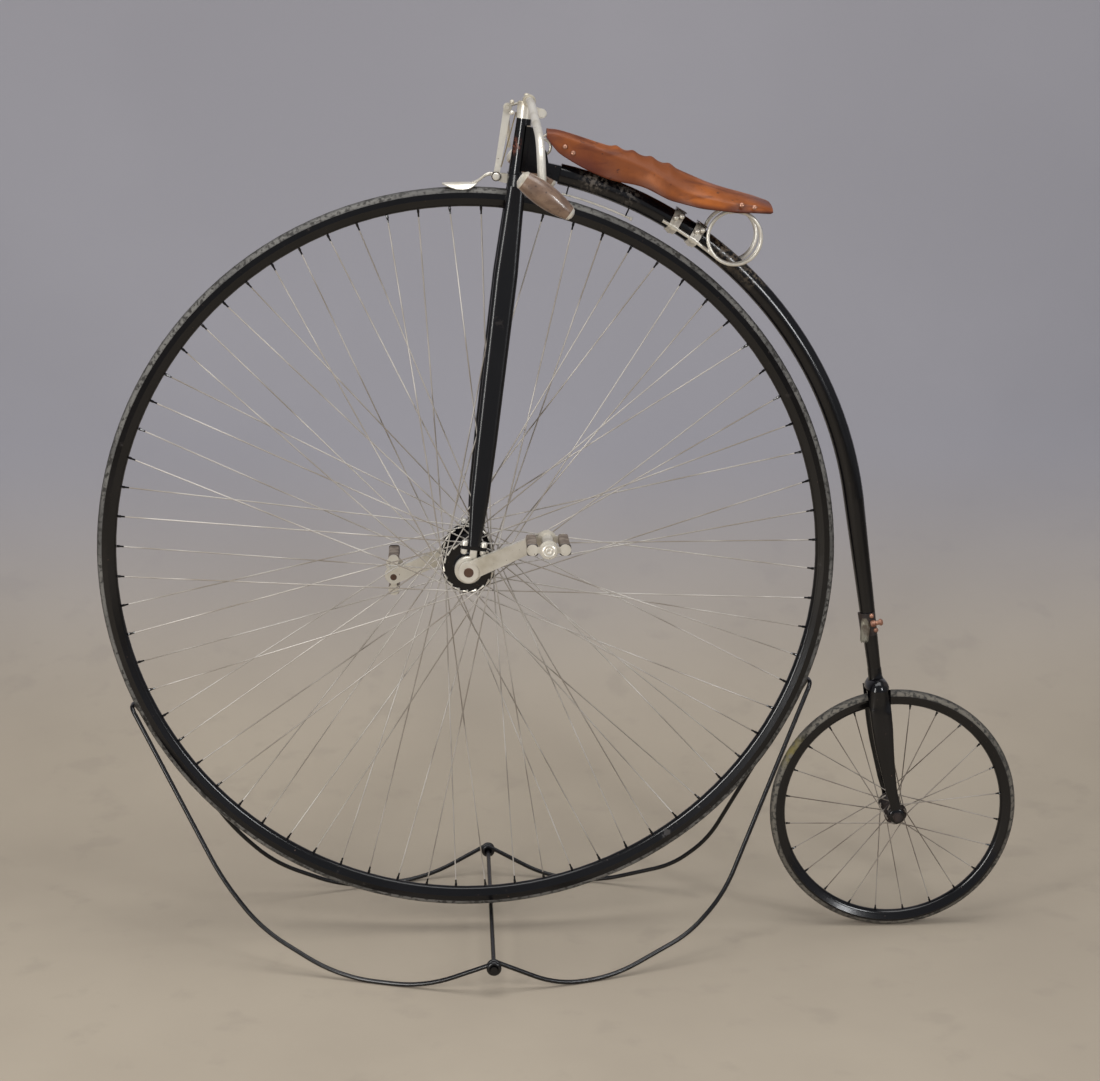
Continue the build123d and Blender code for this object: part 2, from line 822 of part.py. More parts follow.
# Rise above the axle, distance ahead of it, half width, half thickness, share of the splay
rear_blade_table = [
    (bulb_centre.Z - rear_z, rear_x - bulb_centre.X, 16.0, 9.0, 0.0),
    (200.0, 34.0, 14.5, 8.0, 0.2),
    (124.0, 23.5, 14.0, 7.0, 0.5),
    (47.0, 7.5, 10.0, 4.8, 0.82),
    (rear_lug_radius, 2.2, 9.2, rear_blade_thickness / 2, 1.0),
    (0.0, 0.0, 9.0, rear_blade_thickness / 2, 1.0),
]
with BuildPart() as rear_fork:
    with BuildSketch(Plane(origin=bulb_centre, x_dir=(0, 1, 0), z_dir=(0, 0, 1))):
        SlotOverall(bulb_length, 2 * bulb_radius)
        Rectangle(bulb_length, bulb_radius, align=(Align.CENTER, Align.MIN), mode=Mode.INTERSECT)
    revolve(axis=Axis(bulb_centre, (0, 1, 0)))
    for side, name in sides:
        for rise, ahead, half_width, half_thickness, share in rear_blade_table:
            offset_here = rear_blade_top_offset + share * (rear_blade_offset - rear_blade_top_offset)
            with BuildSketch(Plane.XY.offset(rear_z + rise)):
                with Locations((rear_x - ahead, side * offset_here)):
                    SlotOverall(2 * half_width, 2 * half_thickness)
        loft(ruled=True)
        with BuildSketch(side_plane(rear_x, side * rear_blade_offset, rear_z)):
            Circle(rear_lug_radius)
        extrude(amount=rear_blade_thickness / 2, both=True)
    with BuildSketch(rear_plane):
        with Locations((rear_section_centre, 0)):
            Circle(rear_tyre_section + running_gap + 1.0)
    revolve(axis=rear_axis, mode=Mode.SUBTRACT)
    with BuildSketch(tail_plane(backbone_tail_length - socket_length)):
        Circle(tail_radius(backbone_tail_length - socket_length) + socket_wall)
    extrude(amount=socket_length + bulb_drop)
    for run in (backbone_tail_length - socket_length - 1, backbone_tail_length):
        with BuildSketch(tail_plane(run)):
            Circle(tail_radius(run) + shaft_gap)
    loft(ruled=True, mode=Mode.SUBTRACT)
    with BuildSketch(side_plane(rear_x, lug_outer + 1, rear_z)):
        Circle(rear_axle_radius + shaft_gap)
    extrude(amount=2 * (lug_outer + 1), mode=Mode.SUBTRACT)
save(rear_fork, "rear_fork")

hub_end = rear_flange_outer + hub_nose
with BuildPart() as rear_axle:
    with BuildSketch(side_plane(rear_x, lug_outer + rear_nut_height + 3, rear_z)):
        Circle(rear_axle_radius)
    extrude(amount=2 * (lug_outer + rear_nut_height + 3))
    for side, name in sides:
        with BuildSketch(side_plane(rear_x, side * (hub_end + seat_gap), rear_z)):
            Circle(cone_radius)
        extrude(amount=-side * (lug_inner - hub_end - 2 * seat_gap))
        with BuildSketch(side_plane(rear_x, side * (lug_outer + seat_gap), rear_z)):
            RegularPolygon(rear_nut_radius, 6)
        extrude(amount=-side * rear_nut_height)
save(rear_axle, "rear_axle")

# Saddle: a leather shell, deep at its sides.
# Behind the front axle, half width, rise of the top and of the lower edge over the front tyre
saddle_rises = [
    (141.0, 18.0, 98.6, 82.6),
    (164.0, 23.0, 95.6, 55.6),
    (240.0, 30.0, 71.6, 15.6),
    (305.0, 46.0, 52.6, 0.6),
    (354.0, 68.0, 34.6, -21.4),
    (428.0, 88.0, 3.6, -35.4),
    (500.0, 90.0, -17.4, -39.4),
    (526.0, 76.0, -26.4, -40.4),
]
saddle_table = [
    (back, half_width, front_tyre_radius + top_rise, front_tyre_radius + low_rise)
    for back, half_width, top_rise, low_rise in saddle_rises
]


def saddle_at(back):
    """The saddle's half width, top and lower edge between two rows of its table."""
    for before, after in zip(saddle_table, saddle_table[1:]):
        if before[0] <= back <= after[0]:
            share = (back - before[0]) / (after[0] - before[0])
            return [a + share * (b - a) for a, b in zip(before[1:], after[1:])]


def hide_outline(half_width, top, low):
    """Corners of a section: lower edge, shoulder and crown of the hide."""
    drop = min(0.42 * half_width, 0.6 * (top - low))
    shoulder = 0.93 * half_width
    return (half_width, low), (shoulder, top - drop), (0, top)


def across_plane(back):
    """A plane facing the rear at a distance behind the front axle, local X to the right."""
    return Plane(origin=(front_x + back, 0, front_z), x_dir=(0, 1, 0), z_dir=(1, 0, 0))


saddle_front = saddle_table[0][0]
saddle_rear = saddle_table[-1][0]
with BuildPart() as saddle_top:
    for inset, mode in ((0.0, Mode.ADD), (saddle_thickness, Mode.SUBTRACT)):
        for back, half_width, top, low in saddle_table:
            place = min(max(back, saddle_front + inset), saddle_rear - inset)
            edge, shoulder, crown = hide_outline(half_width - inset, top - inset, low - inset)
            with BuildSketch(across_plane(place)):
                with BuildLine():
                    Line((-edge[0], edge[1]), (-shoulder[0], shoulder[1]))
                    ThreePointArc((-shoulder[0], shoulder[1]), crown, shoulder)
                    Line(shoulder, edge)
                    Line(edge, (-edge[0], edge[1]))
                make_face()
        loft(ruled=True, mode=mode)
save(saddle_top, "saddle_top")

# Saddle frame: a hoop under the rear of the hide and the cross bar that the coils carry
coil_reach = backbone_path_radius + coil_rise
coil_centre = around_front(coil_deg, coil_reach)
frame_foot = coil_centre.Z + coil_radius + coil_wire + seat_gap
with BuildPart() as saddle_frame:
    for inset, mode in ((0.0, Mode.ADD), (saddle_hoop, Mode.SUBTRACT)):
        for back in (saddle_seat_front, saddle_seat_rear):
            half_width, top, low = saddle_at(back)
            clear = saddle_thickness + seat_gap + inset
            edge, shoulder, crown = hide_outline(half_width - clear, top - clear, low - clear)
            with BuildSketch(across_plane(back)):
                with BuildLine():
                    Line((-edge[0], edge[1]), (-shoulder[0], shoulder[1]))
                    ThreePointArc((-shoulder[0], shoulder[1]), crown, shoulder)
                    Line(shoulder, edge)
                    Line(edge, (-edge[0], edge[1]))
                make_face()
        loft(ruled=True, mode=mode)
    with BuildSketch(Plane.XY.offset(frame_foot)):
        with Locations((rear_x, 0)):
            Rectangle(overall_length, overall_length)
    extrude(amount=front_z, mode=Mode.INTERSECT)
    bar_reach = saddle_at(saddle_seat_front)[0] - saddle_thickness - saddle_hoop - 1.5
    bar_mid_x = front_x + (saddle_seat_front + saddle_seat_rear) / 2
    with BuildSketch(Plane.XY.offset(frame_foot)):
        with Locations((bar_mid_x, 0)):
            Rectangle(saddle_seat_rear - saddle_seat_front, 2 * bar_reach)
    extrude(amount=saddle_bar_height)
save(saddle_frame, "saddle_frame")

# Coil springs: one wire each side, clamped along the backbone and wound outwards
coil_tail_reach = coil_reach - coil_radius
coil_tail_offset = backbone_radius + coil_wire + seat_gap
coil_lines = []
for side, name in sides:
    coil_plane = Plane(
        origin=(coil_centre.X, side * coil_tail_offset, coil_centre.Z),
        x_dir=(-cos(radians(coil_deg)), 0, -sin(radians(coil_deg))),
        z_dir=(0, side, 0),
    )
    turns = Helix(coil_pitch, coil_turns * coil_pitch, coil_radius, lefthand=side > 0)
    coil_lines.append(coil_plane.location * turns)
with BuildPart() as coil_springs:
    for coil_line in coil_lines:
        with BuildSketch(Plane(origin=coil_line @ 0, z_dir=coil_line % 0)):
            Circle(coil_wire)
        sweep(path=coil_line, is_frenet=True)
    for side, name in sides:
        with BuildSketch(radial_plane(coil_tail_deg)):
            with Locations((coil_tail_reach, -side * coil_tail_offset)):
                Circle(coil_wire)
        revolve(axis=front_axis, revolution_arc=coil_tail_deg - coil_deg)
save(coil_springs, "coil_springs")

# Clamps: two bands that hold the spring wires to the backbone, each with a raised ridge
with BuildPart() as spring_clamps:
    for clamp_deg in clamp_degs:
        bands = ((clamp_width, clamp_thickness), (ridge_width, clamp_thickness + ridge_rise))
        for width, thickness in bands:
            spread_deg = degrees(width / backbone_path_radius)
            with BuildSketch(radial_plane(clamp_deg + spread_deg / 2)):
                with Locations((backbone_path_radius, 0)):
                    Circle(backbone_radius + seat_gap + thickness)
                for side, name in sides:
                    with Locations((coil_tail_reach, side * coil_tail_offset)):
                        Circle(coil_wire + seat_gap + thickness)
                make_hull()
            revolve(axis=front_axis, revolution_arc=spread_deg)
    for clamp_deg in clamp_degs:
        with BuildSketch(radial_plane(clamp_deg + 2)):
            with Locations((backbone_path_radius, 0)):
                Circle(backbone_radius + seat_gap)
            for side, name in sides:
                with Locations((coil_tail_reach, side * coil_tail_offset)):
                    Circle(coil_wire + seat_gap)
            make_hull()
        revolve(axis=front_axis, revolution_arc=4, mode=Mode.SUBTRACT)
save(spring_clamps, "spring_clamps")

# Nose spring: a wire loop on the neck's back edge, with an arm into the saddle's nose
loop_x, loop_z = rel(nose_loop_back, front_tyre_radius + nose_loop_rise)
nose_low = saddle_table[0][3]
with BuildPart() as nose_spring:
    with BuildSketch(Plane(origin=(loop_x, 0, loop_z), x_dir=(1, 0, 0), z_dir=(0, 0, 1))):
        with Locations((nose_loop_radius, 0)):
            Circle(nose_wire)
    revolve(axis=Axis((loop_x, 0, loop_z), (0, 1, 0)))
    with BuildLine() as arm_path:
        Polyline(
            (loop_x - 3, 0, loop_z + nose_loop_radius),
            (loop_x + 3, 0, loop_z + nose_loop_radius + 4),
            (front_x + saddle_front - seat_gap - nose_wire / 2, 0, front_z + nose_low + nose_arm_rise),
        )
    with BuildSketch(Plane(origin=arm_path.wires()[0] @ 0, z_dir=arm_path.wires()[0] % 0)):
        Circle(nose_wire)
    sweep(transition=Transition.ROUND)
    with BuildSketch(steer_side):
        Polygon(*neck_outline, align=None)
        offset(amount=seat_gap, kind=Kind.INTERSECTION)
    extrude(amount=neck_thickness, both=True, mode=Mode.SUBTRACT)
save(nose_spring, "nose_spring")

# Rod along the backbone's underside, above the tyre, with a lug and a nut at its ends
guard_rod_reach = front_tyre_radius + guard_rod_gap
with BuildPart() as guard_rod:
    first_deg, last_deg = guard_rod_degs
    with BuildSketch(radial_plane(first_deg)):
        with Locations((guard_rod_reach, 0)):
            Circle(guard_rod_radius)
    revolve(axis=front_axis, revolution_arc=first_deg - last_deg)
    underside = backbone_path_radius - backbone_radius - seat_gap
    for lug_deg in (first_deg - 0.4, last_deg + 1.5):
        with BuildSketch(radial_plane(lug_deg)):
            with Locations(((guard_rod_reach + underside) / 2, 0)):
                Rectangle(underside - guard_rod_reach, 2 * guard_rod_radius)
        revolve(axis=front_axis, revolution_arc=0.5)
    with BuildSketch(radial_plane(last_deg + 0.4)):
        with Locations((guard_rod_reach, 0)):
            Circle(2 * guard_rod_radius)
    revolve(axis=front_axis, revolution_arc=0.4)
save(guard_rod, "guard_rod")

# Mounting step: a plate against the backbone's left side with a toothed tread on it
step_tail_from = backbone_tail_length - step_above_fork - step_length
with BuildPart() as step:
    with BuildSketch(tail_plane(step_tail_from)):
        Circle(tail_radius(step_tail_from) + step_wall)
        with Locations((0, backbone_radius + 2)):
            Rectangle(2 * step_half_width, 2 * backbone_radius, mode=Mode.INTERSECT)
    extrude(amount=step_length)
    with BuildSketch(tail_plane(step_tail_from + tread_from)):
        with Locations((tread_back, tail_radius(step_tail_from) + tread_reach / 2)):
            Rectangle(tread_width, tread_reach)
        tooth = tread_width / tread_teeth
        tip = tail_radius(step_tail_from) + tread_reach
        for k in range(tread_teeth):
            with Locations((tread_back - tread_width / 2 + (k + 0.5) * tooth, tip)):
                Polygon(
                    (-tooth / 2, 0), (0, -tooth_depth), (tooth / 2, 0), align=None, mode=Mode.SUBTRACT
                )
    extrude(amount=tread_thickness)
    for run in (step_tail_from - 1, step_tail_from + step_length + 1):
        with BuildSketch(tail_plane(run)):
            Circle(tail_radius(run) + seat_gap)
    loft(ruled=True, mode=Mode.SUBTRACT)
save(step, "step")

# Brake: a spoon above the tyre, hung on a pivot ahead of the crown and pressed by a link
pivot = Vector(front_x + pivot_back, 0, front_z + pivot_up)
link_eye = Vector(front_x + eye_back, 0, front_z + eye_up)
spoon_inner = front_tyre_section + spoon_gap
spoon_outer = spoon_inner + spoon_thickness
# Distance ahead of the pivot, rise over the front tyre, half width
spoon_neck_rises = [
    (35.7, 9.1, 6.0),
    (26.7, 12.1, 6.0),
    (18.7, 18.6, 6.0),
    (9.7, 21.1, boss_half_width),
    (0.0, pivot_rise, boss_half_width),
]
spoon_neck = [
    (pivot_back - ahead, front_tyre_radius + rise, half_width)
    for ahead, rise, half_width in spoon_neck_rises
]
with BuildPart() as brake_spoon:
    with BuildSketch(radial_plane(94.0)):
        with Locations((front_section_centre, 0)):
            Circle(spoon_outer)
            Circle(spoon_inner, mode=Mode.SUBTRACT)
        with Locations((front_section_centre + spoon_inner * cos(radians(spoon_half_angle_deg)), 0)):
            Rectangle(
                4 * spoon_outer,
                4 * spoon_outer,
                align=(Align.MIN, Align.CENTER),
                mode=Mode.INTERSECT,
            )
    revolve(axis=front_axis, revolution_arc=8.0)
    with BuildSketch(Plane.XY.offset(front_z)):
        for back, leaf_radius in ((-38.0, 2.5), (6.0, 16.5), (34.0, 7.0)):
            with Locations((front_x + back, 0)):
                Circle(leaf_radius)
        make_hull()
    extrude(amount=front_tyre_radius + 100, mode=Mode.INTERSECT)
    for first, second in zip(spoon_neck, spoon_neck[1:]):
        with BuildSketch(side_plane(front_x, 0, front_z)):
            with Locations(first[:2], second[:2]):
                Circle(neck_bar_radius)
            make_hull()
        extrude(amount=second[2], both=True)
    with BuildSketch(side_plane(pivot.X, 0, pivot.Z)):
        Circle(6.0)
    extrude(amount=boss_half_width, both=True)
    with BuildSketch(side_plane(pivot.X, 0, pivot.Z)):
        Circle(pivot_pin_radius + shaft_gap)
    extrude(amount=boss_half_width, both=True, mode=Mode.SUBTRACT)
save(brake_spoon, "brake_spoon")

link_foot = (pivot_back + 2.6, pivot_up + 14.3)
link_slot_front = (pivot_back - 13.7, pivot_up + 2.8)
with BuildPart() as brake_link:
    with BuildSketch(side_plane(front_x, 0, front_z)):
        with Locations(link_foot):
            Circle(link_thickness / 2)
        with Locations((eye_back, eye_up)):
            Circle(link_top_thickness / 2)
        make_hull()
    extrude(amount=link_bar_width / 2, both=True)
    with BuildSketch(side_plane(link_eye.X, 0, link_eye.Z)):
        Circle(eye_radius)
    extrude(amount=link_width / 2, both=True)
    with BuildSketch(side_plane(front_x, 0, front_z)):
        with Locations(link_foot):
            Circle(link_thickness / 2)
        with Locations((pivot_back, pivot_up)):
            Circle(5.5)
        make_hull()
    extrude(amount=link_width / 2, both=True)
    with BuildSketch(side_plane(front_x, 0, front_z)):
        with Locations((pivot_back, pivot_up)):
            Circle(8.0)
        with Locations(link_slot_front):
            Circle(7.0)
        make_hull()
    extrude(amount=boss_half_width + seat_gap, both=True, mode=Mode.SUBTRACT)
    with BuildSketch(side_plane(pivot.X, 0, pivot.Z)):
        Circle(pivot_pin_radius + shaft_gap)
    extrude(amount=link_width / 2, both=True, mode=Mode.SUBTRACT)
    with BuildSketch(side_plane(link_eye.X, 0, link_eye.Z)):
        Circle(lever_radius + shaft_gap)
    extrude(amount=link_width / 2, both=True, mode=Mode.SUBTRACT)
save(brake_link, "brake_link")

# Brake bracket: two cheeks on the crown's front, with the pivot pin through them
cheek_inner = link_width / 2 + seat_gap
cheek_outer = cheek_inner + cheek_thickness
pivot_steer = to_steer(pivot.X, pivot.Z)
bracket_back = -crown_half_width - cheek_thickness
with BuildPart() as brake_bracket:
    with BuildSketch(steer_side):
        with Locations(pivot_steer):
            Circle(6.0)
        with Locations((-crown_half_width - cheek_thickness / 2, crown_rise + crown_height / 2)):
            Rectangle(cheek_thickness, crown_height - 4)
        make_hull()
    extrude(amount=cheek_outer, both=True)
    with BuildSketch(steer_side):
        with Locations((bracket_back, crown_rise + crown_height / 2)):
            Rectangle(60, 60, align=(Align.MAX, Align.CENTER))
    extrude(amount=cheek_inner, both=True, mode=Mode.SUBTRACT)
    with BuildSketch(side_plane(pivot.X, cheek_outer, pivot.Z)):
        Circle(pivot_pin_radius)
    extrude(amount=2 * cheek_outer)
    for side, name in sides:
        with BuildSketch(side_plane(pivot.X, side * cheek_outer, pivot.Z)):
            RegularPolygon(6.0, 6)
        extrude(amount=-side * 4)
save(brake_bracket, "brake_bracket")

# Return spring: a flat strip from the collar down to the back of the link
spring_low = (link_foot[0] + (link_thickness + brake_spring_thickness) / 2 + seat_gap + 0.4, link_foot[1] + 2)
spring_high = steer_point(-collar_radius - seat_gap - brake_spring_thickness / 2, head_top + 8)
with BuildPart() as brake_spring:
    with BuildSketch(side_plane(front_x, 0, front_z)):
        with Locations(spring_low, (spring_high.X - front_x, spring_high.Z - front_z)):
            Circle(brake_spring_thickness / 2)
        make_hull()
    extrude(amount=brake_spring_width / 2, both=True)
save(brake_spring, "brake_spring")

# Brake lever: a rod through the link's eye, then along the front of the right half of the bar
lever_front = bar_mid.X - link_eye.X
with BuildPart() as brake_lever:
    with BuildLine() as lever_path:
        FilletPolyline(
            (link_eye.X, -link_width / 2 - 3, link_eye.Z),
            (link_eye.X, bar_straight - 10, link_eye.Z),
            (bar_points[4][0] - lever_front, bar_points[4][1] - 12, bar_points[4][2] - 4),
            (bar_points[5][0] - lever_front, bar_points[5][1] - 22, bar_points[5][2] + 44),
            radius=(120, 60),
        )
    with BuildSketch(Plane(origin=lever_path.wires()[0] @ 0, z_dir=lever_path.wires()[0] % 0)):
        Circle(lever_radius)
    sweep()
save(brake_lever, "brake_lever")

with BuildPart() as lever_bracket:
    bracket_face = lever_bracket_offset + lever_bracket_width
    with BuildSketch(Plane(origin=(0, bracket_face, 0), x_dir=(1, 0, 0), z_dir=(0, -1, 0))):
        with Locations((bar_mid.X, bar_mid.Z)):
            Circle(bar_radius + 4)
        with Locations((link_eye.X, link_eye.Z)):
            Circle(lever_radius + 3)
        make_hull()
        with Locations((bar_mid.X, bar_mid.Z)):
            Circle(bar_radius + shaft_gap, mode=Mode.SUBTRACT)
        with Locations((link_eye.X, link_eye.Z)):
            Circle(lever_radius + shaft_gap, mode=Mode.SUBTRACT)
    extrude(amount=lever_bracket_width)
save(lever_bracket, "lever_bracket")

# Display stand: a bent rod loop at each end of the wheel, eyed on a cross bar under it
loop_reach = front_tyre_radius + seat_gap + rod_radius
cross_bar_height = front_z - sqrt(loop_reach**2 - cross_bar_back**2)
ring_radius = rod_radius + seat_gap + eye_wire
loop_half_gap = rim_half_width + rod_radius + 0.7
foot = rod_radius


def loop_top(angle_deg):
    """The corner where a loop turns across the tyre, behind the axle and above the floor."""
    top = around_front(angle_deg, loop_reach)
    return (top.X - front_x, loop_half_gap, top.Z)


# Behind the front axle, out to the side, height; then the bend radii along one half
front_loop = [
    (cross_bar_back, eye_ring_offset, cross_bar_height + ring_radius + eye_lift),
    (-85.0, 262.0, foot),
    (-235.0, 213.0, foot),
    (-375.0, 163.0, 78.0),
    (-445.0, 128.0, 160.0),
    loop_top(front_loop_top_deg),
]
rear_loop = [
    (cross_bar_back, eye_ring_offset - eye_ring_spacing, cross_bar_height + ring_radius + eye_lift),
    (150.0, 262.0, foot),
    (250.0, 230.0, foot),
    (390.0, 170.0, 58.0),
    (455.0, 138.0, 120.0),
    loop_top(rear_loop_top_deg),
]
front_loop_bends = [275, 290, 290, 500, 15]
rear_loop_bends = [200, 280, 200, 250, 15]

for half, bends, name in (
    (front_loop, front_loop_bends, "stand_front_loop"),
    (rear_loop, rear_loop_bends, "stand_rear_loop"),
):
    left_half = [(front_x + back, -out, height) for back, out, height in half]
    right_half = [(x, -y, z) for x, y, z in reversed(left_half)]
    with BuildPart() as loop:
        with BuildLine() as loop_path:
            FilletPolyline(*left_half, *right_half, radius=bends + bends[::-1])
        with BuildSketch(Plane(origin=loop_path.wires()[0] @ 0, z_dir=loop_path.wires()[0] % 0)):
            Circle(rod_radius)
        sweep()
        for side, side_name in sides:
            ring_at = (front_x + cross_bar_back, side * half[0][1], cross_bar_height)
            with BuildSketch(Plane(origin=ring_at, x_dir=(1, 0, 0), z_dir=(0, 0, 1))):
                with Locations((ring_radius, 0)):
                    Circle(eye_wire)
            revolve(axis=Axis(ring_at, (0, 1, 0)))
    save(loop, name)

knob_inner = eye_ring_offset + eye_wire + seat_gap
with BuildPart() as stand_cross_bar:
    bar_x = front_x + cross_bar_back
    with BuildSketch(side_plane(bar_x, knob_inner + rod_radius, cross_bar_height)):
        Circle(rod_radius)
    extrude(amount=2 * (knob_inner + rod_radius))
    for side, name in sides:
        with BuildSketch(side_plane(bar_x, side * knob_inner, cross_bar_height)):
            Circle(knob_radius)
        extrude(amount=-side * rod_radius)
save(stand_cross_bar, "stand_cross_bar")
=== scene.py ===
import bmesh
import bpy
import json
from math import acos, cos, exp, pi, radians, sin, sqrt
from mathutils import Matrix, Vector


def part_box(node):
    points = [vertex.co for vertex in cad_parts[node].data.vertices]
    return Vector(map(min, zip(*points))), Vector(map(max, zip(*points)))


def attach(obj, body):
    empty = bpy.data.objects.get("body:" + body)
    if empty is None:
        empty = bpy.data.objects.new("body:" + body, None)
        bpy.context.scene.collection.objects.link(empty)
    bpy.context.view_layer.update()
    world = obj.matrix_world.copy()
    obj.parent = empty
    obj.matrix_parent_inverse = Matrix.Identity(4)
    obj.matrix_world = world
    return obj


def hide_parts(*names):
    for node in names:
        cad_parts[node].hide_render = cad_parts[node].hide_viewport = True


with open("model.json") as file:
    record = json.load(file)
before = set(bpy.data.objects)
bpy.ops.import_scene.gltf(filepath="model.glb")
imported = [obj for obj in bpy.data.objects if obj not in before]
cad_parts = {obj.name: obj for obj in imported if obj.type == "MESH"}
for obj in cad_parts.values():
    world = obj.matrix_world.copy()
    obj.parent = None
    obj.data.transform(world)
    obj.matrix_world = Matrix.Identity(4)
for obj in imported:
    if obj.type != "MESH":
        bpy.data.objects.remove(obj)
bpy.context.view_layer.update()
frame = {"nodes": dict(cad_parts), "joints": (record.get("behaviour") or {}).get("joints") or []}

# Places taken from the frame, in metres: +X to the rear, +Y to the rider's right, +Z up
joints = {joint["name"]: joint for joint in frame["joints"]}
front_centre = Vector(joints["front_wheel_spin"]["pos_m"])
rear_centre = Vector(joints["rear_wheel_spin"]["pos_m"])
steer_point = Vector(joints["steering"]["pos_m"])
steer_axis = Vector(joints["steering"]["axis"]).normalized()
steer_back = Vector((steer_axis.z, 0, -steer_axis.x))
X, Y, Z = Vector((1, 0, 0)), Vector((0, 1, 0)), Vector((0, 0, 1))
SIDES = (-1, 1)
FRONT_RADIUS = 0.6604
REAR_RADIUS = 0.2286


def behind(back, up, side=0.0):
    """A point given behind, above and beside the front wheel's centre."""
    return front_centre + Vector((back, side, up))


def on_head(back, rise, side=0.0):
    """A point given behind and along the steering axis."""
    return steer_point + steer_back * back + steer_axis * rise + Y * side


def around_front(degrees, radius, side=0.0):
    """A point at an angle and radius about the front axle."""
    angle = radians(degrees)
    return behind(radius * cos(angle), radius * sin(angle), side)


def srgb(red, green, blue):
    """A colour as seen on a screen, 0 to 255, in the linear values that shaders take."""
    channels = [value / 255 for value in (red, green, blue)]
    return [c / 12.92 if c <= 0.04045 else ((c + 0.055) / 1.055) ** 2.4 for c in channels] + [1.0]


# Camera: the photograph's place, aim and lens
FOCAL_PIXELS = 2307.6
PHOTO_WIDTH = 1100
SENSOR = 36.0
CAMERA_FROM_WHEEL = Vector((-0.02884, -4.02965, 0.95983))
CAMERA_AIM = Vector((0.0425, 0.9735, -0.2246))


def make_camera():
    camera = bpy.data.objects.new("camera", bpy.data.cameras.new("camera"))
    bpy.context.scene.collection.objects.link(camera)
    camera.location = front_centre + CAMERA_FROM_WHEEL
    camera.rotation_mode = "QUATERNION"
    camera.rotation_quaternion = CAMERA_AIM.to_track_quat("-Z", "Y")
    camera.data.sensor_width = SENSOR
    camera.data.lens = FOCAL_PIXELS / PHOTO_WIDTH * SENSOR
    bpy.context.scene.camera = camera


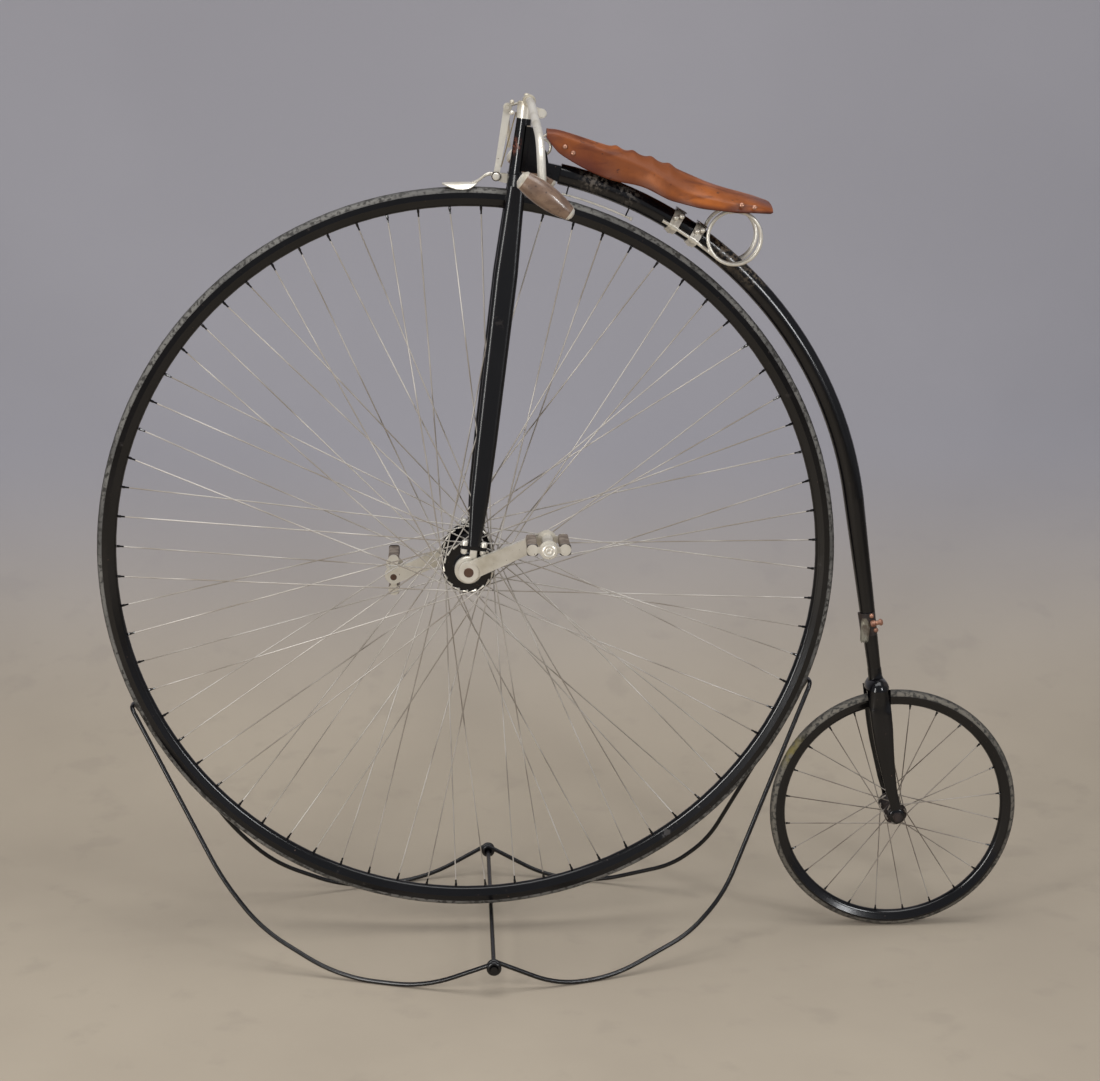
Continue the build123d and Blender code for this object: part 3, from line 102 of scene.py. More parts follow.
class Look:
    """A material's node tree, with short ways to add what these finishes use."""

    def __init__(self, name, roughness=0.5, metallic=0.0, coat=0.0):
        self.material = bpy.data.materials.new(name)
        self.material.use_nodes = True
        self.tree = self.material.node_tree
        self.shader = self.tree.nodes["Principled BSDF"]
        self.shader.inputs["Roughness"].default_value = roughness
        self.shader.inputs["Metallic"].default_value = metallic
        self.shader.inputs["Coat Weight"].default_value = coat
        self.shader.inputs["Coat Roughness"].default_value = 0.12
        self.place = self.tree.nodes.new("ShaderNodeTexCoord").outputs["Object"]

    def set(self, socket, value):
        """Puts a socket or a plain value into a node's input."""
        if hasattr(value, "is_output"):
            self.tree.links.new(value, socket)
        else:
            socket.default_value = value

    def maths(self, operation, first, second=0.0):
        node = self.tree.nodes.new("ShaderNodeMath")
        node.operation = operation
        self.set(node.inputs[0], first)
        self.set(node.inputs[1], second)
        return node.outputs[0]

    def between(self, value, low, high, start=0.0, end=1.0):
        """The value's place between low and high, smoothed, given from start to end."""
        node = self.tree.nodes.new("ShaderNodeMapRange")
        node.interpolation_type = "SMOOTHSTEP"
        for name, number in (("From Min", low), ("From Max", high), ("To Min", start), ("To Max", end)):
            node.inputs[name].default_value = number
        self.set(node.inputs["Value"], value)
        return node.outputs["Result"]

    def noise(self, scale, low=0.4, high=0.6, detail=4.0, place=None):
        node = self.tree.nodes.new("ShaderNodeTexNoise")
        node.inputs["Scale"].default_value = scale
        node.inputs["Detail"].default_value = detail
        self.set(node.inputs["Vector"], place or self.place)
        return self.between(node.outputs["Fac"], low, high)

    def cracks(self, scale, width):
        """Thin lines between cells, 1 on a line."""
        node = self.tree.nodes.new("ShaderNodeTexVoronoi")
        node.feature = "DISTANCE_TO_EDGE"
        node.inputs["Scale"].default_value = scale
        self.set(node.inputs["Vector"], self.place)
        return self.between(node.outputs["Distance"], 0.0, width, 1.0, 0.0)

    def stretched(self, factors):
        """The place scaled along each axis, for streaks and grain."""
        node = self.tree.nodes.new("ShaderNodeMapping")
        node.inputs["Scale"].default_value = factors
        self.set(node.inputs["Vector"], self.place)
        return node.outputs["Vector"]

    def near(self, centre, radius):
        """1 at a point, falling to 0 at the radius."""
        node = self.tree.nodes.new("ShaderNodeVectorMath")
        node.operation = "DISTANCE"
        self.set(node.inputs[0], self.place)
        node.inputs[1].default_value = centre
        return self.between(node.outputs["Value"], 0.0, radius, 1.0, 0.0)

    def reach(self, centre):
        """The distance from a wheel's axle."""
        flat = self.tree.nodes.new("ShaderNodeVectorMath")
        flat.operation = "MULTIPLY_ADD"
        self.set(flat.inputs[0], self.place)
        flat.inputs[1].default_value = (1, 0, 1)
        flat.inputs[2].default_value = (-centre.x, 0, -centre.z)
        length = self.tree.nodes.new("ShaderNodeVectorMath")
        length.operation = "LENGTH"
        self.set(length.inputs[0], flat.outputs["Vector"])
        return length.outputs["Value"]

    def height(self):
        node = self.tree.nodes.new("ShaderNodeSeparateXYZ")
        self.set(node.inputs[0], self.place)
        return node.outputs["Z"]

    def attribute(self, name):
        node = self.tree.nodes.new("ShaderNodeAttribute")
        node.attribute_name = name
        return node.outputs["Fac"]

    def mix(self, share, first, second):
        node = self.tree.nodes.new("ShaderNodeMix")
        node.data_type = "RGBA"
        self.set(node.inputs[0], share)
        self.set(node.inputs[6], first)
        self.set(node.inputs[7], second)
        return node.outputs[2]

    def colour(self, value):
        self.set(self.shader.inputs["Base Color"], value)

    def roughness(self, value):
        self.set(self.shader.inputs["Roughness"], value)

    def metallic(self, value):
        self.set(self.shader.inputs["Metallic"], value)

    def bump(self, height, strength, depth):
        node = self.tree.nodes.new("ShaderNodeBump")
        node.inputs["Strength"].default_value = strength
        node.inputs["Distance"].default_value = depth
        self.set(node.inputs["Height"], height)
        before = self.shader.inputs["Normal"]
        if before.is_linked:
            self.set(node.inputs["Normal"], before.links[0].from_socket)
        self.tree.links.new(node.outputs["Normal"], before)


# Finishes
def enamel(name, patches=(), gloss=0.16):
    """Old black enamel: glossy, with fine chips, brown rubs and dusty patches."""
    look = Look(name)
    black = look.mix(look.noise(9, 0.35, 0.75), srgb(3, 3, 5), srgb(11, 10, 13))
    rubs = look.noise(30, 0.66, 0.78, detail=8)
    colour = look.mix(rubs, black, srgb(34, 28, 26))
    chips = look.noise(230, 0.735, 0.76, detail=3)
    colour = look.mix(chips, colour, srgb(96, 70, 56))
    worn = look.maths("MAXIMUM", rubs, chips)
    for centre, radius, tone in patches:
        grain = look.noise(150, 0.42, 0.62, detail=8)
        patch = look.maths("MULTIPLY", look.near(centre, radius), grain)
        colour = look.mix(patch, colour, tone)
        worn = look.maths("MAXIMUM", worn, patch)
    look.colour(colour)
    look.roughness(look.between(worn, 0.0, 1.0, gloss, 0.55))
    look.bump(worn, 0.3, 0.0003)
    look.bump(look.noise(70, 0.3, 0.7), 0.03, 0.0008)
    return look.material


def nickel(name, tarnish=0.5, metallic=0.45):
    """Yellowed nickel plate with dull clouds and dark pits."""
    look = Look(name, metallic=metallic)
    clouds = look.noise(22, 0.5 - tarnish * 0.25, 0.78, detail=6)
    colour = look.mix(clouds, srgb(222, 217, 206), srgb(176, 167, 148))
    pits = look.noise(260, 0.68, 0.74, detail=3)
    colour = look.mix(pits, colour, srgb(112, 96, 76))
    look.colour(colour)
    look.roughness(look.between(clouds, 0.0, 1.0, 0.28, 0.46))
    look.bump(pits, 0.35, 0.0003)
    look.bump(look.noise(90), 0.06, 0.0004)
    return look.material


def rusty(name, bare, rust, low=0.42, high=0.62, rough=0.55, metallic=0.6):
    """Steel under a brown skin of rust."""
    look = Look(name)
    spots = look.noise(60, low, high, detail=8)
    look.colour(look.mix(spots, bare, rust))
    look.metallic(look.between(spots, 0.0, 1.0, metallic, 0.1))
    look.roughness(look.between(spots, 0.0, 1.0, rough - 0.2, rough + 0.2))
    look.bump(look.noise(260, 0.3, 0.7, detail=6), 0.35, 0.0004)
    return look.material


def spoke_wire(name, bright, dull, metallic=0.35):
    """Drawn wire that greys slowly along its length."""
    look = Look(name, metallic=metallic)
    drift = look.noise(7, 0.36, 0.64, detail=2)
    look.colour(look.mix(drift, bright, dull))
    look.roughness(look.between(drift, 0.0, 1.0, 0.36, 0.52))
    return look.material


def tyre_rubber(name, centre, outside, fresh, worn, patches=()):
    """Old rubber: a grey band near where it meets the road, part wear and part painted highlight, cracked
    there, and dark beside the rim.
    """
    look = Look(name, roughness=0.7)
    reach = look.reach(centre)
    # tread and crown shape the grey band: part wear, part a painted highlight on the shoulder, fading
    # short of the outermost edge
    tread = look.between(reach, outside - 0.0150, outside - 0.0075)
    crown = look.between(reach, outside - 0.0045, outside - 0.0005, 1.0, 0.45)
    clouds = look.noise(9, 0.3, 0.62, detail=6)
    wear_and_sheen_band = look.maths("MULTIPLY", tread, crown)
    wear_and_sheen = look.maths("MULTIPLY", wear_and_sheen_band, look.between(clouds, 0.0, 1.0, 0.5, 1.0))
    colour = look.mix(wear_and_sheen, fresh, worn)
    scuffs = look.maths("MULTIPLY", look.noise(150, 0.47, 0.62, detail=8), tread)
    colour = look.mix(scuffs, colour, srgb(50, 48, 45))
    for place, radius, tone in patches:
        patch = look.maths("MULTIPLY", look.near(place, radius), look.noise(70, 0.35, 0.6, detail=6))
        colour = look.mix(patch, colour, tone)
    look.colour(colour)
    look.roughness(look.between(wear_and_sheen, 0.0, 1.0, 0.42, 0.8))
    look.bump(look.maths("MULTIPLY", look.cracks(190, 0.05), tread), 0.5, 0.0008)
    look.bump(look.noise(320, 0.3, 0.7, detail=6), 0.25, 0.0004)
    return look.material


def leather(name, shades):
    """Waxed saddle leather: orange brown, darker at a few given places and towards its lower edge."""
    look = Look(name)
    look.shader.inputs["Specular IOR Level"].default_value = 0.22
    clouds = look.noise(13, 0.36, 0.64, detail=6)
    colour = look.mix(clouds, srgb(158, 88, 38), srgb(118, 62, 27))
    streaks = look.noise(26, 0.5, 0.72, detail=6, place=look.stretched((0.35, 1.6, 1.6)))
    colour = look.mix(streaks, colour, srgb(90, 44, 22))
    edge = look.between(look.attribute("edge"), 0.1, 0.95)
    lower_edge_darkening = look.maths("MULTIPLY", edge, look.between(clouds, 0.0, 1.0, 0.9, 0.6))
    colour = look.mix(lower_edge_darkening, colour, srgb(74, 36, 25))
    for place, radius, tone in shades:
        uneven = look.between(clouds, 0.0, 1.0, 0.95, 0.7)
        colour = look.mix(look.maths("MULTIPLY", look.near(place, radius), uneven), colour, tone)
    dark = look.noise(75, 0.64, 0.74, detail=6)
    colour = look.mix(dark, colour, srgb(62, 31, 22))
    look.colour(colour)
    look.roughness(look.between(clouds, 0.0, 1.0, 0.34, 0.52))
    look.bump(look.noise(420, 0.3, 0.7, detail=5), 0.16, 0.0004)
    look.bump(look.cracks(330, 0.06), 0.16, 0.0003)
    look.bump(look.noise(40, 0.3, 0.7), 0.2, 0.0012)
    return look.material


def grip_rubber(name):
    """Hard brown grip stuff, polished by hands, with fine lines along it."""
    look = Look(name, coat=0.5)
    lines = look.noise(60, 0.35, 0.7, detail=5, place=look.stretched((0.5, 2.2, 0.9)))
    colour = look.mix(lines, srgb(124, 101, 84), srgb(96, 74, 60))
    look.colour(look.mix(look.noise(190, 0.6, 0.7), colour, srgb(74, 56, 46)))
    look.roughness(look.between(lines, 0.0, 1.0, 0.26, 0.42))
    look.bump(lines, 0.15, 0.0004)
    return look.material


def pedal_rubber(name):
    look = Look(name)
    clouds = look.noise(55, 0.3, 0.7, detail=6)
    look.colour(look.mix(clouds, srgb(138, 126, 113), srgb(98, 85, 75)))
    look.roughness(look.between(clouds, 0.0, 1.0, 0.55, 0.8))
    look.bump(look.noise(240, 0.3, 0.7, detail=6), 0.4, 0.0005)
    return look.material


def backdrop_paint(name):
    """Beige floor that turns into a grey lavender wall, which a camera behind it looks through."""
    look = Look(name, roughness=0.85)
    nodes = look.tree.nodes
    paths, sides = nodes.new("ShaderNodeLightPath"), nodes.new("ShaderNodeNewGeometry")
    seen_from_behind = look.maths("MULTIPLY", paths.outputs["Is Camera Ray"], sides.outputs["Backfacing"])
    one_sided = nodes.new("ShaderNodeMixShader")
    look.set(one_sided.inputs[0], seen_from_behind)
    look.set(one_sided.inputs[1], look.shader.outputs["BSDF"])
    look.set(one_sided.inputs[2], nodes.new("ShaderNodeBsdfTransparent").outputs["BSDF"])
    look.set(nodes["Material Output"].inputs["Surface"], one_sided.outputs["Shader"])
    floor = look.mix(look.noise(1.6, 0.3, 0.7, detail=6), srgb(177, 165, 147), srgb(169, 157, 140))
    smudges = look.noise(9, 0.56, 0.72, detail=6)
    floor = look.mix(look.maths("MULTIPLY", smudges, 0.3), floor, srgb(152, 141, 127))
    wall = look.mix(look.noise(0.7, 0.3, 0.7), srgb(157, 155, 161), srgb(150, 148, 154))
    look.colour(look.mix(look.between(look.height(), 0.0, 0.6), floor, wall))
    look.bump(look.noise(30, 0.3, 0.7, detail=6), 0.05, 0.002)
    return look.material


# Worn and darkened places: a point, its radius and its tone
HEAD_RUB = (on_head(-0.012, 0.735, -0.008), 0.022, srgb(112, 62, 46))
TOP_DUST = [
    (around_front(50.0, 0.722, -0.006), 0.05, srgb(116, 100, 82)),
    (around_front(45.5, 0.722, -0.006), 0.045, srgb(108, 96, 80)),
    (around_front(71.5, 0.712, -0.014), 0.04, srgb(92, 84, 76)),
    (around_front(66.5, 0.712, -0.014), 0.035, srgb(84, 78, 72)),
]
YELLOW_SCUFF = (rear_centre + Vector((-0.19, -0.008, 0.115)), 0.045, srgb(118, 108, 62))
SADDLE_SHADES = [
    (behind(0.150, 0.745), 0.048, srgb(88, 46, 38)),
    (behind(0.205, 0.690, -0.03), 0.070, srgb(80, 35, 28)),
    (behind(0.522, 0.632, -0.04), 0.075, srgb(90, 48, 39)),
    (behind(0.430, 0.668), 0.050, srgb(118, 62, 38)),
]

black = enamel("black_enamel")
blade_black = enamel("fork_enamel", gloss=0.27)
frame_black = enamel("backbone_enamel", patches=TOP_DUST)
head_black = enamel("head_enamel", patches=[HEAD_RUB])
stand_black = enamel("stand_enamel", gloss=0.26)
plate = nickel("nickel_plate")
bright_plate = nickel("bright_nickel", tarnish=0.15)
wire = spoke_wire("spoke_steel", srgb(196, 191, 184), srgb(146, 138, 128))
old_wire = spoke_wire("old_spoke_steel", srgb(168, 161, 152), srgb(112, 102, 92), metallic=0.25)
strip_steel = rusty("strip_steel", srgb(150, 134, 98), srgb(104, 86, 58), 0.45, 0.7, rough=0.45)
axle_rust = rusty("rusty_axle", srgb(96, 74, 62), srgb(72, 46, 36), rough=0.6)
dark_iron = rusty("dark_iron", srgb(46, 42, 42), srgb(52, 41, 36), rough=0.6, metallic=0.4)
step_metal = rusty("step_metal", srgb(112, 107, 94), srgb(78, 68, 56), rough=0.6)
copper = rusty("copper", srgb(172, 128, 106), srgb(112, 72, 56), 0.45, 0.7, rough=0.5, metallic=0.55)
dark_copper = rusty("dark_copper", srgb(74, 56, 48), srgb(48, 36, 32), 0.4, 0.7, rough=0.35, metallic=0.7)
pedal_end = rusty("pedal_end", srgb(82, 76, 70), srgb(60, 50, 44), 0.4, 0.7, rough=0.5, metallic=0.5)
hide = leather("saddle_leather", SADDLE_SHADES)
grip_stuff = grip_rubber("grip_brown")
block_rubber = pedal_rubber("pedal_rubber")
front_rubber = tyre_rubber(
    "front_tyre_rubber", front_centre, FRONT_RADIUS, srgb(24, 24, 26), srgb(112, 110, 106)
)
rear_rubber = tyre_rubber(
    "rear_tyre_rubber", rear_centre, REAR_RADIUS, srgb(30, 29, 29), srgb(110, 105, 96), [YELLOW_SCUFF]
)

NODE_LOOKS = [
    (black, ["front_rim", "rear_rim", "rear_fork", "front_hub"]),
    (blade_black, ["front_fork"]),
    (frame_black, ["backbone"]),
    (head_black, ["steering_head"]),
    (stand_black, ["stand_front_loop", "stand_rear_loop", "stand_cross_bar"]),
    (plate, ["head_collar", "head_bolt", "handlebar", "brake_bracket", "brake_lever", "lever_bracket"]),
    (plate, ["bearing_cases", "crank_left", "crank_right", "pedal_cage_left", "pedal_cage_right"]),
    (bright_plate, ["brake_spoon", "brake_link", "coil_springs", "nose_spring", "guard_rod"]),
    (plate, ["grip_ferrules", "spring_clamps"]),
    (wire, ["front_spokes"]),
    (old_wire, ["rear_spokes"]),
    (strip_steel, ["brake_spring"]),
    (axle_rust, ["front_axle", "pedal_pins"]),
    (dark_iron, ["rear_hub", "rear_axle", "saddle_frame"]),
    (step_metal, ["step"]),
    (grip_stuff, ["grip_left", "grip_right"]),
    (block_rubber, ["pedal_blocks_left", "pedal_blocks_right"]),
    (front_rubber, ["front_tyre"]),
    (rear_rubber, ["rear_tyre"]),
    (hide, ["saddle_top"]),
]


def dress_nodes():
    for look, names in NODE_LOOKS:
        for name in names:
            node = frame["nodes"][name]
            if not node.material_slots:
                node.data.materials.append(look)
            for material_slot in node.material_slots:
                material_slot.link = "OBJECT"
                material_slot.material = look


# Pieces made here
def add_piece(name, corners, faces, look, body, flat_over=35):
    mesh = bpy.data.meshes.new(name)
    mesh.from_pydata([tuple(corner) for corner in corners], [], faces)
    mesh.validate()
    mesh.update()
    mesh.shade_smooth()
    mesh.set_sharp_from_angle(angle=radians(flat_over))
    mesh.materials.append(look)
    piece = bpy.data.objects.new(name, mesh)
    bpy.context.scene.collection.objects.link(piece)
    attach(piece, body)
    return piece


def ring(centre, across, out, half_across, half_out, power=2.0, count=28):
    """Corners of an oval section: a power of 2 is an ellipse, and higher ones are squarer."""
    corners = []
    for k in range(count):
        c, s = cos(2 * pi * k / count), sin(2 * pi * k / count)
        reach = (abs(c) ** power + abs(s) ** power) ** (-1 / power)
        corners.append(centre + across * (half_across * reach * c) + out * (half_out * reach * s))
    return corners


def closed_faces(start, rows, count):
    """Faces from each ring of corners to the next, and one on each end."""
    faces = []
    for row in range(rows - 1):
        for k in range(count):
            a = start + row * count + k
            b = start + row * count + (k + 1) % count
            faces.append((a, b, b + count, a + count))
    last = start + (rows - 1) * count
    faces.append([start + k for k in reversed(range(count))])
    faces.append([last + k for k in range(count)])
    return faces


def lofted(name, forms, look, body, flat_over=35):
    """One mesh of closed forms, each given by its rings in order."""
    corners, faces = [], []
    for rings in forms:
        faces += closed_faces(len(corners), len(rings), len(rings[0]))
        for section in rings:
            corners.extend(section)
    piece = add_piece(name, corners, faces, look, body, flat_over)
    work = bmesh.new()
    work.from_mesh(piece.data)
    bmesh.ops.recalc_face_normals(work, faces=work.faces)
    work.to_mesh(piece.data)
    work.free()
    return piece


def turned(name, placements, profile, look, body, count=12):
    """One mesh of equal turned forms. A placement is a point and its axis' direction,
    and the profile gives radii and heights along that axis, from one end to the other."""
    corners, faces = [], []
    for origin, direction in placements:
        turn = Vector(direction).to_track_quat("Z", "Y").to_matrix()
        faces += closed_faces(len(corners), len(profile), count)
        for radius, height in profile:
            for k in range(count):
                angle = 2 * pi * k / count
                spot = Vector((radius * cos(angle), radius * sin(angle), height))
                corners.append(Vector(origin) + turn @ spot)
    return add_piece(name, corners, faces, look, body)


def dome(radius, height, steps=4):
    """The profile of a rivet's round head."""
    rises = [pi / 2 * k / steps for k in range(1, steps)]
    slope = [(radius * cos(rise), height * sin(rise)) for rise in rises]
    return [(radius, 0.0)] + slope + [(radius * 0.08, height)]


# Spokes as in the frame: each leaves its flange on a tangent, with its side, lean and face in turn.
# A flange's walls are at outer and inner, and a spoke's hook end is just outside one of them
PATTERN = [(-1, 1, 1), (1, -1, -1), (-1, -1, -1), (1, 1, 1)]
WHEELS = {
    "front": dict(
        centre=front_centre, count=72, hook=0.043, reach=0.6257, outside=0.0755, inside=0.0656,
        # metal: finish of the butts and heads; the front's bright nickel is a painted highlight
        outer=0.072, inner=0.067, body="front_wheel", wire=0.00115, nipple=0.0125, metal=bright_plate,
    ),
    "rear": dict(
        centre=rear_centre, count=24, hook=0.0175, reach=0.2003, outside=0.0340, inside=0.0257,
        outer=0.031, inner=0.027, body="rear_wheel", wire=0.001, nipple=0.008, metal=old_wire,
    ),
}
RIM_STAGGER = 0.0016


def spoke_lines(wheel):
    """The start at the hub, the end at the rim, the side and the face of every spoke."""
    hook, reach = wheel["hook"], wheel["reach"]
    wrap = acos(hook / reach)
    for k in range(wheel["count"]):
        side, lean, face = PATTERN[k % len(PATTERN)]
        rim_angle = 2 * pi / wheel["count"] * (k + 0.5)
        hook_angle = rim_angle + lean * wrap
        depth = wheel["outside"] if face > 0 else wheel["inside"]
        start = Vector((hook * cos(hook_angle), side * depth, hook * sin(hook_angle)))
        end = Vector((reach * cos(rim_angle), side * face * RIM_STAGGER, reach * sin(rim_angle)))
        yield wheel["centre"] + start, wheel["centre"] + end, side, face


def spoke_trim():
    """Nipples at the rim, thick bright butts at the hub and round heads on the flanges; the front's butts
    and heads take a brighter nickel than its spokes, a painted highlight.
    """
    for name, wheel in WHEELS.items():
        gauge, length, body = wheel["wire"], wheel["nipple"], wheel["body"]
        nipples, butts, heads = [], [], []
        for start, end, side, face in spoke_lines(wheel):
            along = (end - start).normalized()
            nipples.append((end, -along))
            butts.append((start, along))
            wall = wheel["inner"] if face > 0 else wheel["outer"]
            seat = Vector((start.x, side * wall, start.z))
            heads.append((seat, Y * (-side if face > 0 else side)))
        nipple = [(2.1 * gauge, 0), (2.1 * gauge, length * 0.35), (1.5 * gauge, length * 0.5),
                  (1.35 * gauge, length)]
        turned(name + "_nipples", nipples, nipple, black, body, count=8)
        butt = [(1.5 * gauge, 0), (1.5 * gauge, 7 * gauge), (1.05 * gauge, 8 * gauge)]
        turned(name + "_spoke_butts", butts, butt, wheel["metal"], body, count=8)
        head = dome(2.0 * gauge, 1.5 * gauge, steps=3)
        turned(name + "_spoke_heads", heads, head, wheel["metal"], body, count=8)


# Saddle leather: distance behind the wheel's centre, half width, top and lower edge above it
SADDLE_ROWS = [
    (0.141, 0.0180, 0.7590, 0.7430),
    (0.164, 0.0230, 0.7560, 0.7160),
    (0.240, 0.0300, 0.7320, 0.6760),
    (0.305, 0.0460, 0.7130, 0.6610),
    (0.354, 0.0680, 0.6950, 0.6390),
    (0.428, 0.0880, 0.6640, 0.6250),
    (0.500, 0.0900, 0.6430, 0.6210),
    (0.526, 0.0760, 0.6340, 0.6200),
]
RIPPLES = (0.262, 0.291, 0.323, 0.354)
RIPPLE_HEIGHT = 0.0042
RIPPLE_LENGTH = 0.0075
HIDE_THICKNESS = 0.0045
END_BULGE = 0.0045
SHOULDER_SHARE = 0.93
CROWN_CURVE = 0.82
SKIRT_WAVE = 0.0016
SADDLE_SECTIONS = 110
CROWN_STEPS = 14
SKIRT_STEPS = 10
END_STEPS = 5
# Rivets: distance behind the wheel's centre and share of the hide's height
SADDLE_RIVETS = ((0.172, 0.42), (0.186, 0.34), (0.492, 0.35), (0.470, 0.4))


def smooth_row(rows, back):
    """A row between the table's rows, on a curve through them."""
    for k in range(len(rows) - 1):
        if rows[k][0] <= back <= rows[k + 1][0]:
            break
    p = [rows[max(0, k - 1)], rows[k], rows[k + 1], rows[min(len(rows) - 1, k + 2)]]
    span = p[2][0] - p[1][0]
    t = (back - p[1][0]) / span
    result = []
    for column in range(1, len(rows[0])):
        before = (p[2][column] - p[0][column]) / (p[2][0] - p[0][0]) * span
        after = (p[3][column] - p[1][column]) / (p[3][0] - p[1][0]) * span
        a, b = p[1][column], p[2][column]
        result.append(
            (2 * t**3 - 3 * t**2 + 1) * a + (t**3 - 2 * t**2 + t) * before
            + (3 * t**2 - 2 * t**3) * b + (t**3 - t**2) * after
        )
    return result


def saddle_section(back):
    """Points across the hide from one lower edge over the crown to the other, with edge shares."""
    half, top, low = smooth_row(SADDLE_ROWS, back)
    drop = min(0.42 * half, 0.6 * (top - low))
    shoulder = SHOULDER_SHARE * half
    right = []
    for k in range(CROWN_STEPS + 1):
        across = k / CROWN_STEPS
        fall = drop * (1 - sqrt(max(0.0, 1 - CROWN_CURVE * across**2))) / (1 - sqrt(1 - CROWN_CURVE))
        ripple = sum(exp(-(((back - at) / RIPPLE_LENGTH) ** 2)) for at in RIPPLES)
        rise = RIPPLE_HEIGHT * ripple * max(0.0, 1 - (across * 1.15) ** 2)
        right.append((shoulder * across, top - fall + rise, 0.0))
    for k in range(1, SKIRT_STEPS + 1):
        down = k / SKIRT_STEPS
        wave = SKIRT_WAVE * sin(back * 95 + 1.3) * down
        out = shoulder + (half - shoulder) * down + wave
        right.append((out, top - drop + (low - top + drop) * down, down))
    return [(-y, z, e) for y, z, e in reversed(right[1:])] + right


def saddle_hide():
    """The leather: an open sheet with rounded ends, thickened inwards."""
    first, last = SADDLE_ROWS[0][0], SADDLE_ROWS[-1][0]
    sections = []
    for k in range(SADDLE_SECTIONS + 1):
        back = first + (last - first) * k / SADDLE_SECTIONS
        sections.append((back, 1.0, saddle_section(back)))
    for end, outward in ((0, -1), (-1, 1)):
        back, scale, points = sections[end]
        caps = []
        for k in range(1, END_STEPS + 1):
            share = k / END_STEPS
            bulge = outward * END_BULGE * sqrt(1 - (1 - share) ** 2)
            caps.append((back + bulge - outward * END_BULGE, 1 - 0.97 * share, points))
        sections = list(reversed(caps)) + sections if end == 0 else sections + caps
    corners, edges = [], []
    for back, scale, points in sections:
        low = points[0][1]
        for y, z, edge in points:
            corners.append(behind(back, low + (z - low) * scale, y * scale))
            edges.append(edge)
    width = len(sections[0][2])
    faces = []
    for row in range(len(sections) - 1):
        for k in range(width - 1):
            a = row * width + k
            faces.append((a, a + width, a + width + 1, a + 1))
    piece = add_piece("saddle_hide", corners, faces, hide, "rear_frame", flat_over=70)
    shares = piece.data.attributes.new("edge", "FLOAT", "POINT")
    shares.data.foreach_set("value", [max(0.0, (edge - 0.35) / 0.65) for edge in edges])
    thicken = piece.modifiers.new("thickness", "SOLIDIFY")
    thicken.thickness = HIDE_THICKNESS
    thicken.offset = -1
    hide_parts("saddle_top")


def saddle_trim():
    """Rivets on each side: two near the nose and two near the rear."""
    rivets = []
    for back, share in SADDLE_RIVETS:
        half, top, low = smooth_row(SADDLE_ROWS, back)
        for side in SIDES:
            z = low + (top - low) * share
            rivets.append((behind(back, z, side * (half + 0.0002)), Vector((0, side, 0.25))))
    turned("saddle_rivets", rivets, dome(0.0042, 0.0022), copper, "rear_frame", count=14)


# Backbone tail: its axis, from the end of the arc about the front axle, and its tapering radius
TAIL_DEGREES = 8.5
TAIL_START = around_front(TAIL_DEGREES, 0.7006)
TAIL_DOWN = Vector((sin(radians(TAIL_DEGREES)), 0, -cos(radians(TAIL_DEGREES))))
TAIL_BACK = Vector((cos(radians(TAIL_DEGREES)), 0, sin(radians(TAIL_DEGREES))))
TAIL_LENGTH = 0.336


def tail_point(run, back=0.0, side=0.0):
    """A point along the tail, behind its axis and beside it."""
    return TAIL_START + TAIL_DOWN * run + TAIL_BACK * back + Y * side


def tail_radius(run):
    return 0.0182 - 0.0064 * run / TAIL_LENGTH


# Rear fork blade: rise above the axle, distance ahead, half width, half thickness, share of the splay
REAR_BLADE_ROWS = [
    (0.000, 0.0000, 0.0092, 0.0040, 1.00),
    (0.022, 0.0042, 0.0095, 0.0042, 0.98),
    (0.047, 0.0110, 0.0107, 0.0050, 0.86),
    (0.085, 0.0180, 0.0133, 0.0062, 0.66),
    (0.124, 0.0245, 0.0166, 0.0072, 0.48),
    (0.165, 0.0297, 0.0193, 0.0080, 0.28),
    (0.205, 0.0345, 0.0200, 0.0086, 0.09),
    (0.234, 0.0372, 0.0216, 0.0088, 0.00),
]
BLADE_TOP_OFFSET = 0.0272
BLADE_INNER_FACE = 0.0190
BLADE_STEPS = 48
# Where the blades' outer faces start to round into the bulb, and over what rise
ROUNDING_FROM = 0.196
ROUNDING_RISE = 0.038
# Lugs: half their thickness, then radii and depths from the inner face
LUG_HALF = 0.004
LUG_PROFILE = ((0.0128, 0.0), (0.014, 0.0009), (0.014, 0.0071), (0.0128, 2 * LUG_HALF))
BULB_RADIUS = 0.022
BULB_HALF_LENGTH = 0.014
BULB_RISE = 0.232
BULB_AHEAD = 0.0370
BULB_FOOT = 0.0018
BULB_POWER = 2.4
BULB_STEPS = 14
# Socket: the run past the backbone's end, and how far it stands proud of the tube
SOCKET_ROWS = ((-0.014, 0.0004), (-0.010, 0.0007), (0.002, 0.0010), (0.007, 0.0024), (0.014, 0.0055))


def bulb_like(corner, middle, side, rounding):
    """A corner of the blade's outer face, moved by a share towards the bulb's outline."""
    out = side * corner.y
    if out <= BLADE_TOP_OFFSET or rounding == 0:
        return corner
    across = min(1.0, abs(corner.x - middle) / BULB_RADIUS)
    bulb_out = (BULB_HALF_LENGTH + BULB_RADIUS) * (1 - across**BULB_POWER) ** (1 / BULB_POWER)
    out += rounding * (max(BLADE_INNER_FACE, bulb_out) - out)
    return Vector((corner.x, side * out, corner.z))


